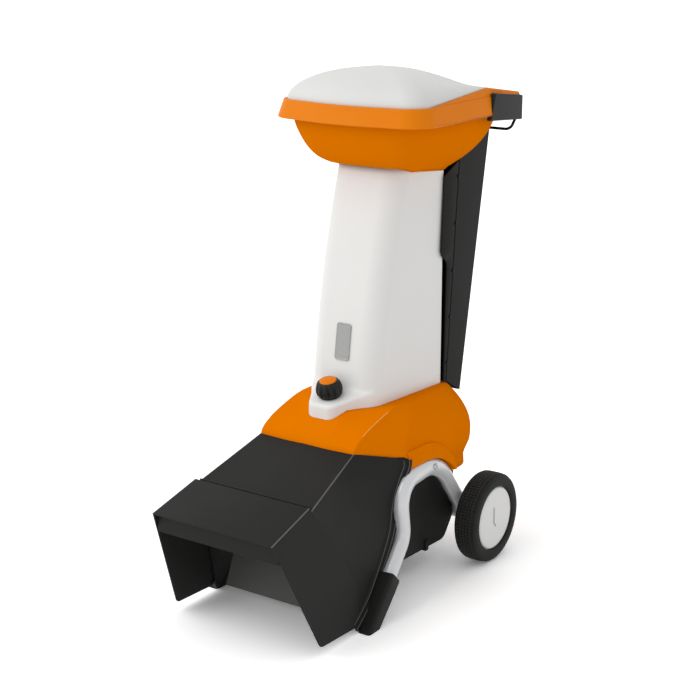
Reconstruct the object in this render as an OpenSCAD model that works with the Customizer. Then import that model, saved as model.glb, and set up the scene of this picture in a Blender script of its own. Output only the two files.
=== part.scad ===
// Electric garden shredder: a wheeled base with a motor and a cutting disc, a feed tower
// that tilts back for cleaning, a hopper with a lid, and a discharge hood with a flap.
// X runs across, Y rearwards and Z up. Lengths in Y are measured from the wheel axle.

/* [Reach] */
// Axle to the front lip of the discharge flap
front_reach = 808; // [790:1:830]
// Axle to the back of the transport handle
rear_reach = 162; // [156:1:168]

/* [Wheels] */
// Outer diameter of a tyre
wheel_d = 230; // [220:1:240]
// Width of a tyre
wheel_w = 62; // [56:1:66]
// Outer face to outer face of the two tyres
wheel_span = 520; // [514:1:540]
// Diameter of the wheel disc inside the tyre
disc_d = 172; // [160:1:176]
// Diameter of the axle rod
axle_d = 16; // [12:1:20]
// Play between a wheel and the frame lug beside it
wheel_gap = 1; // [0.5:0.1:2]

/* [Frame] */
// Diameter of the frame tube
tube_d = 38; // [34:1:40]
// Wall of the frame tube
tube_wall = 2; // [1.5:0.1:3]
// Middle of the machine to the middle of a foot
foot_x = 224; // [218:1:230]
// Feet ahead of the axle
foot_y = 522; // [512:1:530]
// Lower bend of the tube, ahead of the axle
knee_y = 348; // [342:1:354]
// Lower bend of the tube, above the ground
knee_z = 170; // [162:1:178]
// Front corner of the arch, ahead of the axle
shoulder_y = 372; // [366:1:378]
// Rear corner of the arch, ahead of the axle
crest_y = 170; // [162:1:178]
// Middle of the tube at the top of the arch
arch_z = 306; // [302:1:310]
// Bend radius of the tube
bend_r = 50; // [40:1:55]
// Length of the lug that carries the axle
lug_l = 58; // [54:1:62]
// Outer diameter of a foot sleeve
sleeve_d = 46; // [43:1:48]
// Length of a foot sleeve along the tube
sleeve_l = 140; // [110:1:160]

/* [Base housing] */
// Width of the base housing
base_w = 400; // [392:1:408]
// Front wall of the base housing, ahead of the axle
base_front = 452; // [446:1:458]
// Rear wall of the base housing, behind the axle
base_rear = 30; // [26:1:34]
// Lower edge of the skirt
skirt_z = 258; // [252:1:264]
// Height of the widest belt
belt_z = 350; // [344:1:356]
// Height of the deck that the tower stands on
deck_z = 460; // [454:1:466]
// Width of the deck
deck_w = 272; // [266:1:278]
// Wall of the base housing
base_wall = 4; // [3:0.5:5]
// Height of the motor plate's lower face
plate_z = 290; // [284:1:296]
// Thickness of the motor plate
plate_t = 4; // [3:0.5:6]

/* [Discharge] */
// Width of the hood's top where it meets the base housing
hood_top_w = 270; // [264:1:280]
// Width of the flap at its hinge
flap_w = 330; // [322:1:340]
// Hinge of the flap, ahead of the axle
flap_y = 664; // [656:1:672]
// Hinge of the flap, above the ground
flap_z = 328; // [322:1:334]
// Drop of the flap from the hinge to its lip
flap_drop = 40; // [30:1:50]
// Lower edge of the flap above the ground
flap_low = 22; // [18:1:30]
// Lean of the cheeks outwards
cheek_lean = 8.6; // [7:0.1:9]
// Wall of the hood and the flap
hood_wall = 3; // [2.5:0.5:4]

/* [Tower] */
// Front of the tower at its foot, ahead of the axle
tower_foot = 322; // [318:1:328]
// Front of the tower at its top, ahead of the axle
tower_top = 213; // [208:1:220]
// Rear of the tower, ahead of the axle
tower_back = 40; // [38:1:46]
// Height of the tower's upper end
tower_z = 1002; // [994:1:1006]
// Width of the tower at the front
tower_w_front = 190; // [184:1:196]
// Width of the tower at the back
tower_w_back = 238; // [232:1:242]
// Wall of the tower
tower_wall = 4; // [3:0.5:5]
// Width of the rear cover
cover_w = 250; // [246:1:254]
// Rear cover behind the axle at its lower end
cover_low = 35; // [32:1:38]
// Rear cover behind the axle at its upper end
cover_high = 150; // [144:1:153]

/* [Hopper] */
// Width of the hopper rim's upper edge
rim_w = 408; // [404:1:414]
// Front of the rim's upper edge, ahead of the axle
rim_front = 322; // [318:1:330]
// Height of the rim's upper edge
rim_z = 1180; // [1174:1:1186]
// Depth of the rim's skirt
rim_h = 52; // [46:1:56]
// Flare of the skirt towards its lower edge
rim_flare = 13; // [8:1:16]
// Bow of the rim's front edge
rim_bow = 34; // [24:1:40]
// Fall of the deck behind the lid
deck_fall = 14; // [10:1:16]
// Back edge of the lid, behind the axle
lid_back = 32; // [28:1:36]
// Wall of the bowl
bowl_wall = 3.5; // [3:0.5:4]
// Rise of the lid above the rim
lid_rise = 66; // [58:1:74]
// Wall of the lid
lid_wall = 3; // [2.5:0.5:4]
// Diameter of the cable hook's wire
hook_d = 7; // [6:0.5:8]

/* [Drive] */
// Width of the lower shell
shell_w = 296; // [288:1:298]
// Lower edge of the shell above the ground
shell_low = 56; // [50:1:62]
// Rotor axis ahead of the axle
rotor_y = 205; // [200:1:210]
// Diameter of the cutting disc
cutter_d = 280; // [260:1:286]
// Inner diameter of the cutting chamber
chamber_d = 296; // [292:1:300]
// Wall of the cutting chamber
chamber_wall = 4; // [3:0.5:6]
// Diameter of the motor
motor_d = 140; // [130:1:150]
// Length of the stator pack
stator_l = 108; // [90:1:112]
// Diameter of the motor shaft
shaft_d = 18; // [16:1:20]
// Air gap between rotor and stator
air_gap = 0.5; // [0.4:0.1:1]

/* [Controls] */
// Diameter of the locking knob
knob_d = 64; // [58:1:66]
// Height of the locking knob
knob_h = 34; // [30:1:38]
// Diameter of the locking screw
stud_d = 10; // [8:1:12]
// Diameter of a push button
button_d = 22; // [18:1:24]
// Travel of a push button
button_travel = 4; // [3:0.5:5]

/* [Clearances] */
// Running clearance on a shaft, measured on the radius
run = 0.05; // [0.03:0.01:0.08]
// Gap between pieces that seat on each other
seat = 0.3; // [0.2:0.05:0.4]

/* [Hidden] */
$fn = 48;

// The origin lies on the ground in the middle of the footprint
axle_y = (front_reach - rear_reach) / 2;
axle_z = wheel_d / 2;
wheel_in = wheel_span / 2 - wheel_w;
lug_out = wheel_in - wheel_gap;
frame_x = lug_out - lug_l / 2;
toe = atan((foot_x - frame_x) / foot_y);
frame_path = [[-foot_y, 0], [-knee_y, knee_z], [-shoulder_y, arch_z], [-crest_y, arch_z], [0, axle_z]];
screw_y = (shoulder_y + 2 * crest_y) / 3 - 28;
screw_d = 8;
arch_gap = 3;
arch_in = 156;

front_lip_z = 393;
base_round = 3;
throat_margin = 56;
lug_t = 12;
hinge_y = 48;
hinge_z = 445;
hinge_d = 8;
hinge_boss = 17;
hinge_x = 60;

toe_front = 392;
toe_w = 88;
knob_y = 356;
knob_z = 492.3;
knob_lean = 13;
stud_hole = 20;

cover_foot = 426;
cover_mark = 1046;
cover_wall = 3;
cover_lean = atan((cover_high - cover_low) / (cover_mark - cover_foot));

bowl_top = rim_z - 13.2;
bowl_rear = rear_reach - 32;
lid_gap = 1.5;
pin_d = 6;
pin_boss = 16;
rod_d = 4;
rod_boss = 9;
flap_over = 8;

flap_low_y = 690;
flap_len = front_reach - flap_y;
flap_pitch = atan(flap_drop / flap_len);
hood_drop = 6;

plate_top = plate_z + plate_t;
disc_z = 340;
disc_t = 8;
blade_t = 5;
bell_t = 12;
stator_z = plate_z - bell_t - stator_l;

orange = "#d97600";
pale = "#e4e4e2";
black = "#2e2d2b";
silver = "#b9bbbc";
steel = "#8f9295";

// Small helpers for points and outlines
function unit(v) = v / norm(v);
function mix(a, b, f) = a + (b - a) * f;
function turned(v) = [-v.y, v.x];

// Arc of radius r that rounds the corner b between a and c, as n + 1 points
function corner_arc(a, b, c, r, n) =
    let (u = unit(a - b), w = unit(c - b), half = acos(u * w) / 2, centre = b + unit(u + w) * r / sin(half),
         p = b + u * r / tan(half) - centre, q = b + w * r / tan(half) - centre,
         start = atan2(p.y, p.x), sweep = (atan2(q.y, q.x) - start + 540) % 360 - 180)
    [for (k = [0:n]) centre + r * [cos(start + sweep * k / n), sin(start + sweep * k / n)]];
function rounded(pts, radii, n) =
    let (m = len(pts))
    [for (i = [0:m - 1]) each corner_arc(pts[(i + m - 1) % m], pts[i], pts[(i + 1) % m], radii[i], n)];
function inset(pts, d) =
    let (m = len(pts))
    [for (i = [0:m - 1])
        let (u = unit(pts[(i + m - 1) % m] - pts[i]), w = unit(pts[(i + 1) % m] - pts[i]))
        pts[i] + unit(u + w) * d / sin(acos(u * w) / 2)];
function at_height(ring, z) = [for (p = ring) [p.x, p.y, z]];

// Plan of a rounded box with a bowed front and its own width and radius at each end
plan_steps = 8;
bow_r = 500;
function plan(w_front, w_back, y_front, bow, y_back, r_front, r_back) =
    rounded([[w_front / 2, y_front + bow], [w_back / 2, y_back], [-w_back / 2, y_back],
        [-w_front / 2, y_front + bow], [0, y_front]],
        [r_front, r_back, r_back, r_front, bow_r], plan_steps);

// Solid through a stack of rings with equal counts of points, closed to a ring or capped
module skin(rings, closed = false) {
    n = len(rings[0]);
    m = len(rings);
    sides = [for (i = [0:closed ? m - 1 : m - 2], j = [0:n - 1])
        let (a = i * n + j, b = i * n + (j + 1) % n,
             d = (i + 1) % m * n + j, c = (i + 1) % m * n + (j + 1) % n)
        each [[a, c, b], [a, d, c]]];
    caps = closed ? [] : [[for (j = [0:n - 1]) j], [for (j = [n - 1:-1:0]) (m - 1) * n + j]];
    polyhedron([for (r = rings) each r], concat(sides, caps));
}

module from_axle() translate([0, axle_y, 0]) children();
module both_sides() for (s = [0, 1]) mirror([s, 0, 0]) children();
module along_x(x, y, z, l, d) translate([x, y, z]) rotate([0, 90, 0]) cylinder(h = l, d = d, center = true);

// Ring of a tube, or a disc where the bore is zero
module tube_section(d, bore) difference() {
    circle(d = d);
    if (bore > 0) circle(d = bore);
}

// Tube along a flat run of points, bent to one radius at each inner point
module bent_tube(pts, r, d, bore = 0) {
    last = len(pts) - 1;
    trim = [for (i = [0:last])
        i == 0 || i == last ? 0
        : r / tan(acos(unit(pts[i - 1] - pts[i]) * unit(pts[i + 1] - pts[i])) / 2)];
    for (i = [0:last - 1]) {
        run_dir = unit(pts[i + 1] - pts[i]);
        start = pts[i] + run_dir * trim[i];
        length = norm(pts[i + 1] - pts[i]) - trim[i] - trim[i + 1];
        translate([start.x, start.y, 0]) rotate([0, 0, atan2(run_dir.y, run_dir.x)]) rotate([0, 90, 0])
            linear_extrude(length) tube_section(d, bore);
    }
    for (i = [1:last - 1]) {
        u = unit(pts[i - 1] - pts[i]);
        w = unit(pts[i + 1] - pts[i]);
        centre = pts[i] + unit(u + w) * r / sin(acos(u * w) / 2);
        p = pts[i] + u * trim[i] - centre;
        q = pts[i] + w * trim[i] - centre;
        sweep = (atan2(q.y, q.x) - atan2(p.y, p.x) + 540) % 360 - 180;
        translate([centre.x, centre.y, 0]) rotate([0, 0, sweep > 0 ? atan2(p.y, p.x) : atan2(q.y, q.x)])
            rotate_extrude(angle = abs(sweep)) translate([r, 0]) tube_section(d, bore);
    }
}

// Plane of the right side frame: local x runs rearwards, local y up, local z across
module frame_plane() translate([frame_x, 0, 0]) rotate([0, 0, toe]) rotate([90, 0, 90]) children();
function frame_cross(y) = frame_x + y * tan(toe);

// Side frame: one bent tube from the foot over the arch to the axle lug
module side_frame() difference() {
    union() {
        difference() {
            frame_plane() bent_tube(frame_path, bend_r, tube_d, tube_d - 2 * tube_wall);
            along_x(frame_x, 0, axle_z, 2 * lug_l, tube_d);
            translate([0, -2 * foot_y, -tube_d]) cube([2 * foot_x, 3 * foot_y, tube_d + sleeve_foot]);
        }
        along_x(lug_out - lug_l / 2, 0, axle_z, lug_l, tube_d + 2 * tube_wall);
    }
    along_x(frame_x, 0, axle_z, 3 * lug_l, axle_d + 2 * run);
    along_x(frame_cross(screw_y), -screw_y, arch_z, 2 * tube_d, screw_d + 2 * run);
}
sleeve_foot = 4;
module side_frame_right() color(silver) from_axle() side_frame();
module side_frame_left() color(silver) from_axle() mirror([1, 0, 0]) side_frame();

// Foot sleeve: moulded boot on the lower end of the tube, cut level with the ground
module foot_sleeve() {
    leg = unit(frame_path[1] - frame_path[0]);
    difference() {
        frame_plane() translate([-foot_y, 0, 0]) rotate([0, 0, atan2(leg.y, leg.x)]) rotate([0, 90, 0])
            translate([0, 0, -sleeve_d]) cylinder(h = sleeve_l + sleeve_d, d = sleeve_d);
        difference() {
            frame_plane() translate([-foot_y, 0, 0]) rotate([0, 0, atan2(leg.y, leg.x)]) rotate([0, 90, 0])
                translate([0, 0, -sleeve_d]) cylinder(h = 2 * sleeve_l, d = tube_d + 2 * run);
            translate([0, -2 * foot_y, -tube_d]) cube([2 * foot_x, 2 * foot_y, tube_d + sleeve_foot - run]);
        }
        translate([0, -2 * foot_y, -2 * sleeve_d]) cube([2 * foot_x, 2 * foot_y, 2 * sleeve_d]);
    }
}
module foot_sleeve_right() color(black) from_axle() foot_sleeve();
module foot_sleeve_left() color(black) from_axle() mirror([1, 0, 0]) foot_sleeve();

// Axle rod through both frame lugs and both wheels
clip_t = 3;
cap_t = 4;
axle_end = wheel_span / 2 - cap_t - 8;
module wheel_axle() color(steel) from_axle() along_x(0, 0, axle_z, 2 * axle_end, axle_d);

// Retaining clips that keep the wheels on the axle
module axle_clips() color(steel) from_axle() both_sides() difference() {
    along_x(axle_end - clip_t, 0, axle_z, clip_t, axle_d + 12);
    along_x(axle_end - clip_t, 0, axle_z, 2 * clip_t, axle_d + 2 * run);
}

// Screws that hold the arch of each frame to the motor plate's mounting blocks
screw_head = 16;
screw_room = 5.6;
module frame_screws() color(steel) from_axle() both_sides() {
    face = frame_cross(screw_y) + tube_d / 2 + seat + screw_head / 2 * tan(toe);
    along_x(face + 2, -screw_y, arch_z, 4, screw_head);
    tip = chamber_d / 2 + chamber_wall + screw_room;
    along_x((face + 1 + tip) / 2, -screw_y, arch_z, face + 1 - tip, screw_d);
}

// Plan of the base housing between its belt and its deck. The front edges draw in later than
// the sides, which leaves a crease that runs back from the hood's upper corner.
front_bow = 4;
deck_front = [52, 362];
deck_crease = [134, 286];
deck_side = [137, 200];
base_side_y = 334;
base_front_flat = 60;
base_radii = [25, 20, 45, 85];
function base_plan(side, crease, nose, grow = 0) =
    let (p1 = mix([base_front_flat, -base_front - front_bow], [deck_front.x, -deck_front.y], nose)
             + [0, -grow],
         p2 = mix([hood_top_w / 2, -base_front], [deck_crease.x, -deck_crease.y], crease)
             + [0.6 * grow, -grow],
         p3 = mix([base_w / 2, -base_side_y], [deck_side.x, -deck_side.y], side) + [grow, -0.4 * grow],
         p4 = mix([base_w / 2, base_rear], [deck_w / 2, base_rear - 24], side) + [grow, grow],
         right = [p1, p2, p3, p4],
         radii = [for (r = base_radii) r + grow])
    rounded(concat(right, [for (i = [3:-1:0]) [-right[i].x, right[i].y]]),
            concat(radii, [for (i = [3:-1:0]) radii[i]]), base_round);
function side_of(z) = pow(max(0, (z - belt_z) / (deck_z - belt_z)), 2);
function nose_of(z) = pow(max(0, (z - front_lip_z) / (deck_z - front_lip_z)), 1.5);
function base_ring(z, grow = 0) =
    at_height(base_plan(side_of(z), pow(nose_of(z), 1.3), nose_of(z), grow), z);
tuck = 11;
belt_h = deck_z - belt_z;
base_heights = [belt_z, belt_z + 0.24 * belt_h, front_lip_z, front_lip_z + 17, front_lip_z + 32,
    front_lip_z + 47, deck_z - 5];

// Band around the frame tube's arch that the shells beside it keep clear of
module arch_clearance() {
    reach = tube_d / 2 + arch_gap;
    both_sides() translate([arch_in, 0, 0]) rotate([90, 0, 90]) linear_extrude(base_w / 2)
        polygon([[-foot_y - reach, -reach], [-knee_y - reach, knee_z],
            [-shoulder_y - reach, arch_z - bend_r],
            [-shoulder_y + bend_r / 2 - reach, arch_z + reach / 2], [-shoulder_y + bend_r, arch_z + reach],
            [-crest_y - bend_r / 2, arch_z + reach], [-crest_y + reach, arch_z + reach / 4],
            [reach * 1.4, axle_z], [reach, -reach]]);
}

// Ears at the back of the base housing that hold the tower's hinge pin
module base_ears() both_sides() translate([hinge_x, 0, 0]) rotate([90, 0, 90])
    linear_extrude(lug_t, center = true) difference() {
        union() {
            translate([hinge_y, hinge_z]) circle(d = hinge_boss);
            polygon([[base_rear - base_wall, belt_z - 10], [base_rear - base_wall, belt_z + 30],
                [hinge_y - 2, hinge_z - 4], [hinge_y + hinge_boss / 2, hinge_z]]);
        }
        translate([hinge_y, hinge_z]) circle(d = hinge_d);
    }

// Base housing: domed orange shell over the cutting chamber, with the throat in its deck
port_w = 220;
port_z = 86;
module base_housing() color(orange) from_axle() union() {
    outer = concat(
        [base_ring(skirt_z, -tuck), base_ring(skirt_z + 24, -tuck - 1), base_ring(skirt_z + 62, -1)],
        [for (z = base_heights) base_ring(z)], [base_ring(deck_z, -1)]);
    under = deck_z - base_wall;
    inner = concat([for (i = [len(base_heights) - 1:-1:0])
            base_ring(min(base_heights[i], under) - base_wall / 2, -base_wall)],
        [base_ring(skirt_z + 62, -1 - base_wall), base_ring(skirt_z + 24, -tuck - 1 - base_wall),
            base_ring(skirt_z, -tuck - base_wall)]);
    throat = base_plan(1, 1, 1, -throat_margin / 2);
    hole = [for (p = throat) [p.x * 0.62, mix(-rotor_y + 15, p.y, 0.86)]];
    difference() {
        skin(concat(outer, [at_height(hole, deck_z), at_height(hole, under)], inner), true);
        translate([-port_w / 2, -base_front - 3 * front_bow, plate_top + 6])
            cube([port_w, 40, port_z]);
        arch_clearance();
        knob_axis() translate([0, 0, -60]) cylinder(h = 45, d = stud_hole);
    }
    base_ears();
}

// Motor plate: steel plate inside the housing with blocks that take the frame screws
boss_d = 50;
module motor_plate() color(steel) from_axle() difference() {
    union() {
        difference() {
            translate([0, 0, plate_z]) linear_extrude(plate_t)
                polygon(base_plan(0, 0, 0, -base_wall - tuck - 2));
            arch_clearance();
        }
        both_sides() difference() {
            union() {
                reach = frame_cross(screw_y - 20) - tube_d / 2 - 2 * seat;
                translate([chamber_d / 2 + 6, -screw_y - 20, plate_z])
                    cube([reach - chamber_d / 2 - 6, 40, arch_z - plate_z + 16]);
                translate([arch_in - 20, -screw_y - 20, plate_z]) cube([reach - arch_in + 20, 40, plate_t]);
            }
            along_x(frame_cross(screw_y), -screw_y, arch_z, 4 * tube_d, screw_d + 2 * run);
        }
    }
    translate([0, -rotor_y, plate_z - 1]) cylinder(h = plate_t + 2, d = boss_d + 2 * run);
    bolt_ring() translate([0, 0, plate_z - 1]) cylinder(h = plate_t + 2, d = bolt_d + 2 * run);
}
bolt_d = 6;
module bolt_ring() translate([0, -rotor_y, 0]) for (a = [45:90:315]) rotate([0, 0, a])
    translate([motor_d / 2 - 12, 0, 0]) children();
module motor_bolts() color(steel) from_axle() bolt_ring() {
    translate([0, 0, plate_z - bell_t]) cylinder(h = bell_t + plate_t, d = bolt_d);
    translate([0, 0, plate_top]) cylinder(h = 5, d = 1.8 * bolt_d, $fn = 6);
}

// Lower shell: black tub around the motor, closed by the motor plate
shell_wall = 3;
shell_front = 350;
shell_rear = 24;
shell_side = [[-shell_front, plate_z], [-shell_front, shell_low + 46], [-shell_front + 50, shell_low + 8],
    [-66, shell_low], [-shell_rear, shell_low + 52], [-shell_rear, plate_z]];
module lower_shell() color(black) from_axle() difference() {
    rotate([90, 0, 90]) linear_extrude(shell_w, center = true) polygon(shell_side);
    rotate([90, 0, 90]) linear_extrude(shell_w - 2 * shell_wall, center = true)
        polygon([for (p = inset(shell_side, shell_wall)) [p.x, p.y > plate_z - 10 ? plate_z + 1 : p.y]]);
    for (x = [-60:20:60]) translate([x - 4, -rotor_y - 60, shell_low - 20]) cube([8, 120, 40]);
}

// Cutting chamber: drum wall around the disc, open to the discharge port
module cutting_chamber() color(steel) from_axle() translate([0, -rotor_y, plate_top]) difference() {
    cylinder(h = front_lip_z + 10 - plate_top, d = chamber_d + 2 * chamber_wall);
    translate([0, 0, -1]) cylinder(h = 2 * deck_z, d = chamber_d);
    translate([-port_w / 2, -chamber_d, 6]) cube([port_w, chamber_d, port_z]);
}

// Counter blade: fixed bar on the chamber wall that the blades cut against
module counter_blade() color(steel) from_axle() translate([0, -rotor_y, 0]) intersection() {
    translate([cutter_d / 4, -10, disc_z + disc_t + blade_t + 3]) cube([chamber_d, 20, 9]);
    cylinder(h = 2 * disc_z, d = chamber_d - 2 * run);
}

// Axis of the locking knob, with its origin on the seat of the tower's toe
module knob_axis() translate([0, -knob_y, knob_z]) rotate([knob_lean, 0, 0]) children();

// Bush under the deck that takes the locking screw, and the switch that senses the screw
module clamp_bush() color("#b08d3c") from_axle() difference() {
    under = deck_z - base_wall - 2.5;
    translate([0, -knob_y + 11, under - 10]) cylinder(h = 10, d = 34);
    knob_axis() translate([0, 0, -70]) cylinder(h = 60, d = stud_hole);
}
module safety_switch() color(black) from_axle()
    translate([20, -knob_y - 2, deck_z - base_wall - 32.5]) cube([22, 22, 30]);

// Discharge hood: top and flanks between the base housing and the flap
hood_side = [[base_front - 2, front_lip_z, hood_top_w / 2],
    [base_side_y - 4, front_lip_z - 34, base_w / 2 - 2],
    [knee_y + 4, knee_z - 10, 192], [514, 102, flap_w / 2 + (flap_z - 102) * tan(cheek_lean)],
    [flap_y + 2, flap_z - hood_drop, flap_w / 2 - 3]];
module hood_block(points) hull() both_sides()
    for (p = points) translate([p[2] - 1, -p[0], p[1] - 1]) cube(1);
module discharge_hood() color(black) from_axle() union() {
    cavity = [for (i = [0:4]) let (p = hood_side[i]) i == 3 ? [p[0], p[1] - 140, p[2] + 12]
        : i == 4 ? [p[0] + 12, p[1] - hood_wall - 4, p[2] - hood_wall]
        : i == 2 ? [p[0] - 90, p[1] - 60, p[2] - hood_wall]
        : i == 1 ? [p[0] - 60, p[1] - hood_wall - 8, p[2] - hood_wall]
        : [p[0] - 80, p[1] - hood_wall + 8, p[2] - hood_wall]];
    difference() {
        hood_block(hood_side);
        hood_block(cavity);
        translate([0, 0, skirt_z]) linear_extrude(deck_z) polygon(base_plan(0, 0, 0, seat));
        arch_clearance();
        cheek_room();
    }
    hood_knuckles();
}

// Room in the hood for the flap's cheeks, with a seam left open along their rear edges
module cheek_room() both_sides() translate([flap_w / 2, 0, flap_z]) rotate([0, -cheek_lean, 0])
    rotate([90, 0, 90]) translate([0, 0, -hood_wall - 2]) linear_extrude(hood_wall + 14)
    polygon([[-flap_y + 4, 14], [-front_reach, 14], [-front_reach, -flap_z], [cheek_foot.x + 3.5, -flap_z],
        [cheek_foot.x + 3.5, cheek_foot.y]]);
cheek_foot = [-520, (106 - flap_z) / cos(cheek_lean)];
knuckle_w = 24;
knuckle_x = [0, 126];
module hood_knuckles() for (x = [-knuckle_x[1], 0, knuckle_x[1]]) translate([x, -flap_y, flap_z])
    rotate([90, 0, 90]) linear_extrude(knuckle_w, center = true) difference() {
        union() {
            circle(d = rod_boss);
            polygon([[-rod_boss / 2, 0], [rod_boss / 2 - 1, 0], [rod_boss / 2 + 4, -hood_drop - 1.5],
                [-rod_boss / 2 + 4, -hood_drop - 3]]);
        }
        circle(d = rod_d);
    }
module flap_hinge_rod() color(steel) from_axle()
    along_x(0, -flap_y, flap_z, 2 * knuckle_x[1] + knuckle_w, rod_d);

// Deflector plate: slopes down and forwards from the port to the mouth
deflector_low = [566, 34];
module deflector_plate() color(black) from_axle() {
    tucked = tuck + 1 - tuck * (plate_top + 4 - skirt_z - 24) / 38;
    top = [base_front + front_bow - tucked + 2 * seat, plate_top + 4];
    slope = unit([deflector_low.x - top.x, deflector_low.y - top.y]);
    across = turned(slope) * hood_wall;
    rotate([90, 0, 90]) linear_extrude(2 * 158, center = true)
        polygon([[-top.x, top.y], [-deflector_low.x, deflector_low.y],
            [-deflector_low.x - across.x, deflector_low.y + across.y],
            [-top.x - across.x, top.y + across.y]]);
}

// Discharge flap: top panel over the hinge, two leaning cheeks and the knuckles on the hinge rod
module discharge_flap() color(black) from_axle() union() {
    back = [-flap_y, flap_z + flap_over];
    lip = [-front_reach, flap_z + flap_over - flap_drop];
    under = turned(unit(lip - back)) * hood_wall;
    top_half = flap_w / 2;
    difference() {
        rotate([90, 0, 90]) linear_extrude(2 * top_half + 40, center = true)
            polygon([back, lip, lip + under, back + under]);
        both_sides() translate([top_half, -flap_y, flap_z]) rotate([0, -cheek_lean, 0])
            translate([0, -flap_len - 20, -flap_z]) cube([80, flap_len + 60, 2 * flap_z]);
    }
    both_sides() translate([top_half, 0, flap_z]) rotate([0, -cheek_lean, 0]) rotate([90, 0, 90])
        translate([0, 0, -hood_wall]) linear_extrude(hood_wall)
        polygon([back - [0, flap_z + hood_wall / 2], lip - [-0.5, flap_z + hood_wall / 2],
            [-flap_low_y, (flap_low - flap_z) / cos(cheek_lean)],
            [-548, (flap_low - 5 - flap_z) / cos(cheek_lean)], cheek_foot]);
    gap = (knuckle_x[1] - knuckle_w) / 2 - 1;
    both_sides() difference() {
        union() {
            along_x(knuckle_x[1] / 2, -flap_y, flap_z, 2 * gap, rod_boss);
            translate([knuckle_x[1] / 2 - gap, -flap_y - 9, flap_z])
                cube([2 * gap, 9, flap_over - hood_wall / 2 - 2]);
        }
        along_x(knuckle_x[1] / 2, -flap_y, flap_z, 4 * gap, rod_d + 2 * run);
    }
}

// Pin that the tower tilts on
module tower_hinge_pin() color(steel) from_axle()
    along_x(0, hinge_y, hinge_z, 2 * hinge_x + lug_t + 4, hinge_d);

// Motor and rotor on the upright axis
module on_rotor(z) from_axle() translate([0, -rotor_y, z]) children();
module ring(h, d, bore) difference() {
    cylinder(h = h, d = d);
    translate([0, 0, -1]) cylinder(h = h + 2, d = bore);
}
rotor_d = motor_d - 56;
bearing_h = 12;
upper_bearing_d = 40;
lower_bearing_d = 35;
module motor_stator() color("#6d6f72") on_rotor(stator_z) ring(stator_l, motor_d, rotor_d + 2 * air_gap);
module upper_end_bell() color("#a9abad") on_rotor(plate_z - bell_t) difference() {
    union() {
        cylinder(h = bell_t, d = motor_d);
        cylinder(h = bell_t + plate_t + bearing_h, d = boss_d);
    }
    translate([0, 0, bell_t + plate_t]) cylinder(h = bearing_h + 1, d = upper_bearing_d);
    translate([0, 0, -1]) cylinder(h = bell_t + plate_t + 2, d = shaft_d + 4);
    for (a = [45:90:315]) rotate([0, 0, a]) translate([motor_d / 2 - 12, 0, -1])
        cylinder(h = bell_t + 2, d = bolt_d + 2 * run);
}
module lower_end_bell() color("#a9abad") on_rotor(stator_z - 20) difference() {
    cylinder(h = 20, d = motor_d);
    translate([0, 0, 8]) cylinder(h = 13, d = motor_d - 20);
    translate([0, 0, -1]) cylinder(h = 22, d = lower_bearing_d);
}
module upper_bearing() color(steel) on_rotor(plate_top)
    ring(bearing_h, upper_bearing_d - 2 * run, shaft_d + 2 * run);
module lower_bearing() color(steel) on_rotor(stator_z - 20)
    ring(8, lower_bearing_d - 2 * run, shaft_d + 2 * run);
shaft_low = stator_z - 52;
shaft_high = disc_z + disc_t + blade_t + 14;
module motor_shaft() color(steel) on_rotor(shaft_low) cylinder(h = shaft_high - shaft_low, d = shaft_d);
module rotor_core() color("#7c6a55") on_rotor(stator_z + 4) ring(stator_l - 8, rotor_d, shaft_d);
module cooling_fan() color(black) on_rotor(shaft_low) {
    ring(22, shaft_d + 14, shaft_d);
    ring(3, motor_d - 10, shaft_d);
    for (a = [0:40:320]) rotate([0, 0, a]) translate([shaft_d / 2 + 6, -1.5, 0])
        cube([motor_d / 2 - 22, 3, 20]);
}
module cutting_disc() color(steel) on_rotor(0) difference() {
    union() {
        translate([0, 0, plate_top + bearing_h + 4])
            cylinder(h = disc_z - plate_top - bearing_h - 3, d = 44);
        translate([0, 0, disc_z]) cylinder(h = disc_t, d = cutter_d);
    }
    translate([0, 0, plate_top]) cylinder(h = 2 * disc_z, d = shaft_d);
    blade_holes() translate([0, 0, disc_z - 1]) cylinder(h = disc_t + 2, d = bolt_d + 2 * run);
}
blade_w = 44;
blade_in = 46;
blade_hole_in = 24;
module blade_holes() for (a = [0, 180], x = [blade_hole_in, cutter_d / 2 - blade_in - 20])
    rotate([0, 0, a]) translate([blade_in + x, 0, 0]) children();
module cutting_blades() color("#c9ccd0") on_rotor(disc_z + disc_t) difference() {
    for (a = [0, 180]) rotate([0, 0, a]) linear_extrude(blade_t)
        polygon([[blade_in, -blade_w / 2], [cutter_d / 2 - 6, -blade_w / 2], [cutter_d / 2 - 2, 0],
            [cutter_d / 2 - 14, blade_w / 2], [blade_in + 8, blade_w / 2]]);
    blade_holes() translate([0, 0, -1]) cylinder(h = blade_t + 2, d = bolt_d + 2 * run);
}
module blade_bolts() color("#5b5d60") on_rotor(0) blade_holes() {
    translate([0, 0, disc_z]) cylinder(h = disc_t + blade_t, d = bolt_d);
    translate([0, 0, disc_z - 5]) cylinder(h = 5, d = 1.8 * bolt_d, $fn = 6);
}
module disc_nut() color("#5b5d60") on_rotor(disc_z + disc_t) difference() {
    cylinder(h = 12, d = 2 * shaft_d, $fn = 6);
    translate([0, 0, -1]) cylinder(h = 14, d = shaft_d);
}
module run_capacitor() color(silver) from_axle()
    translate([105, -100, plate_z - 92]) cylinder(h = 92, d = 42);

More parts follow.
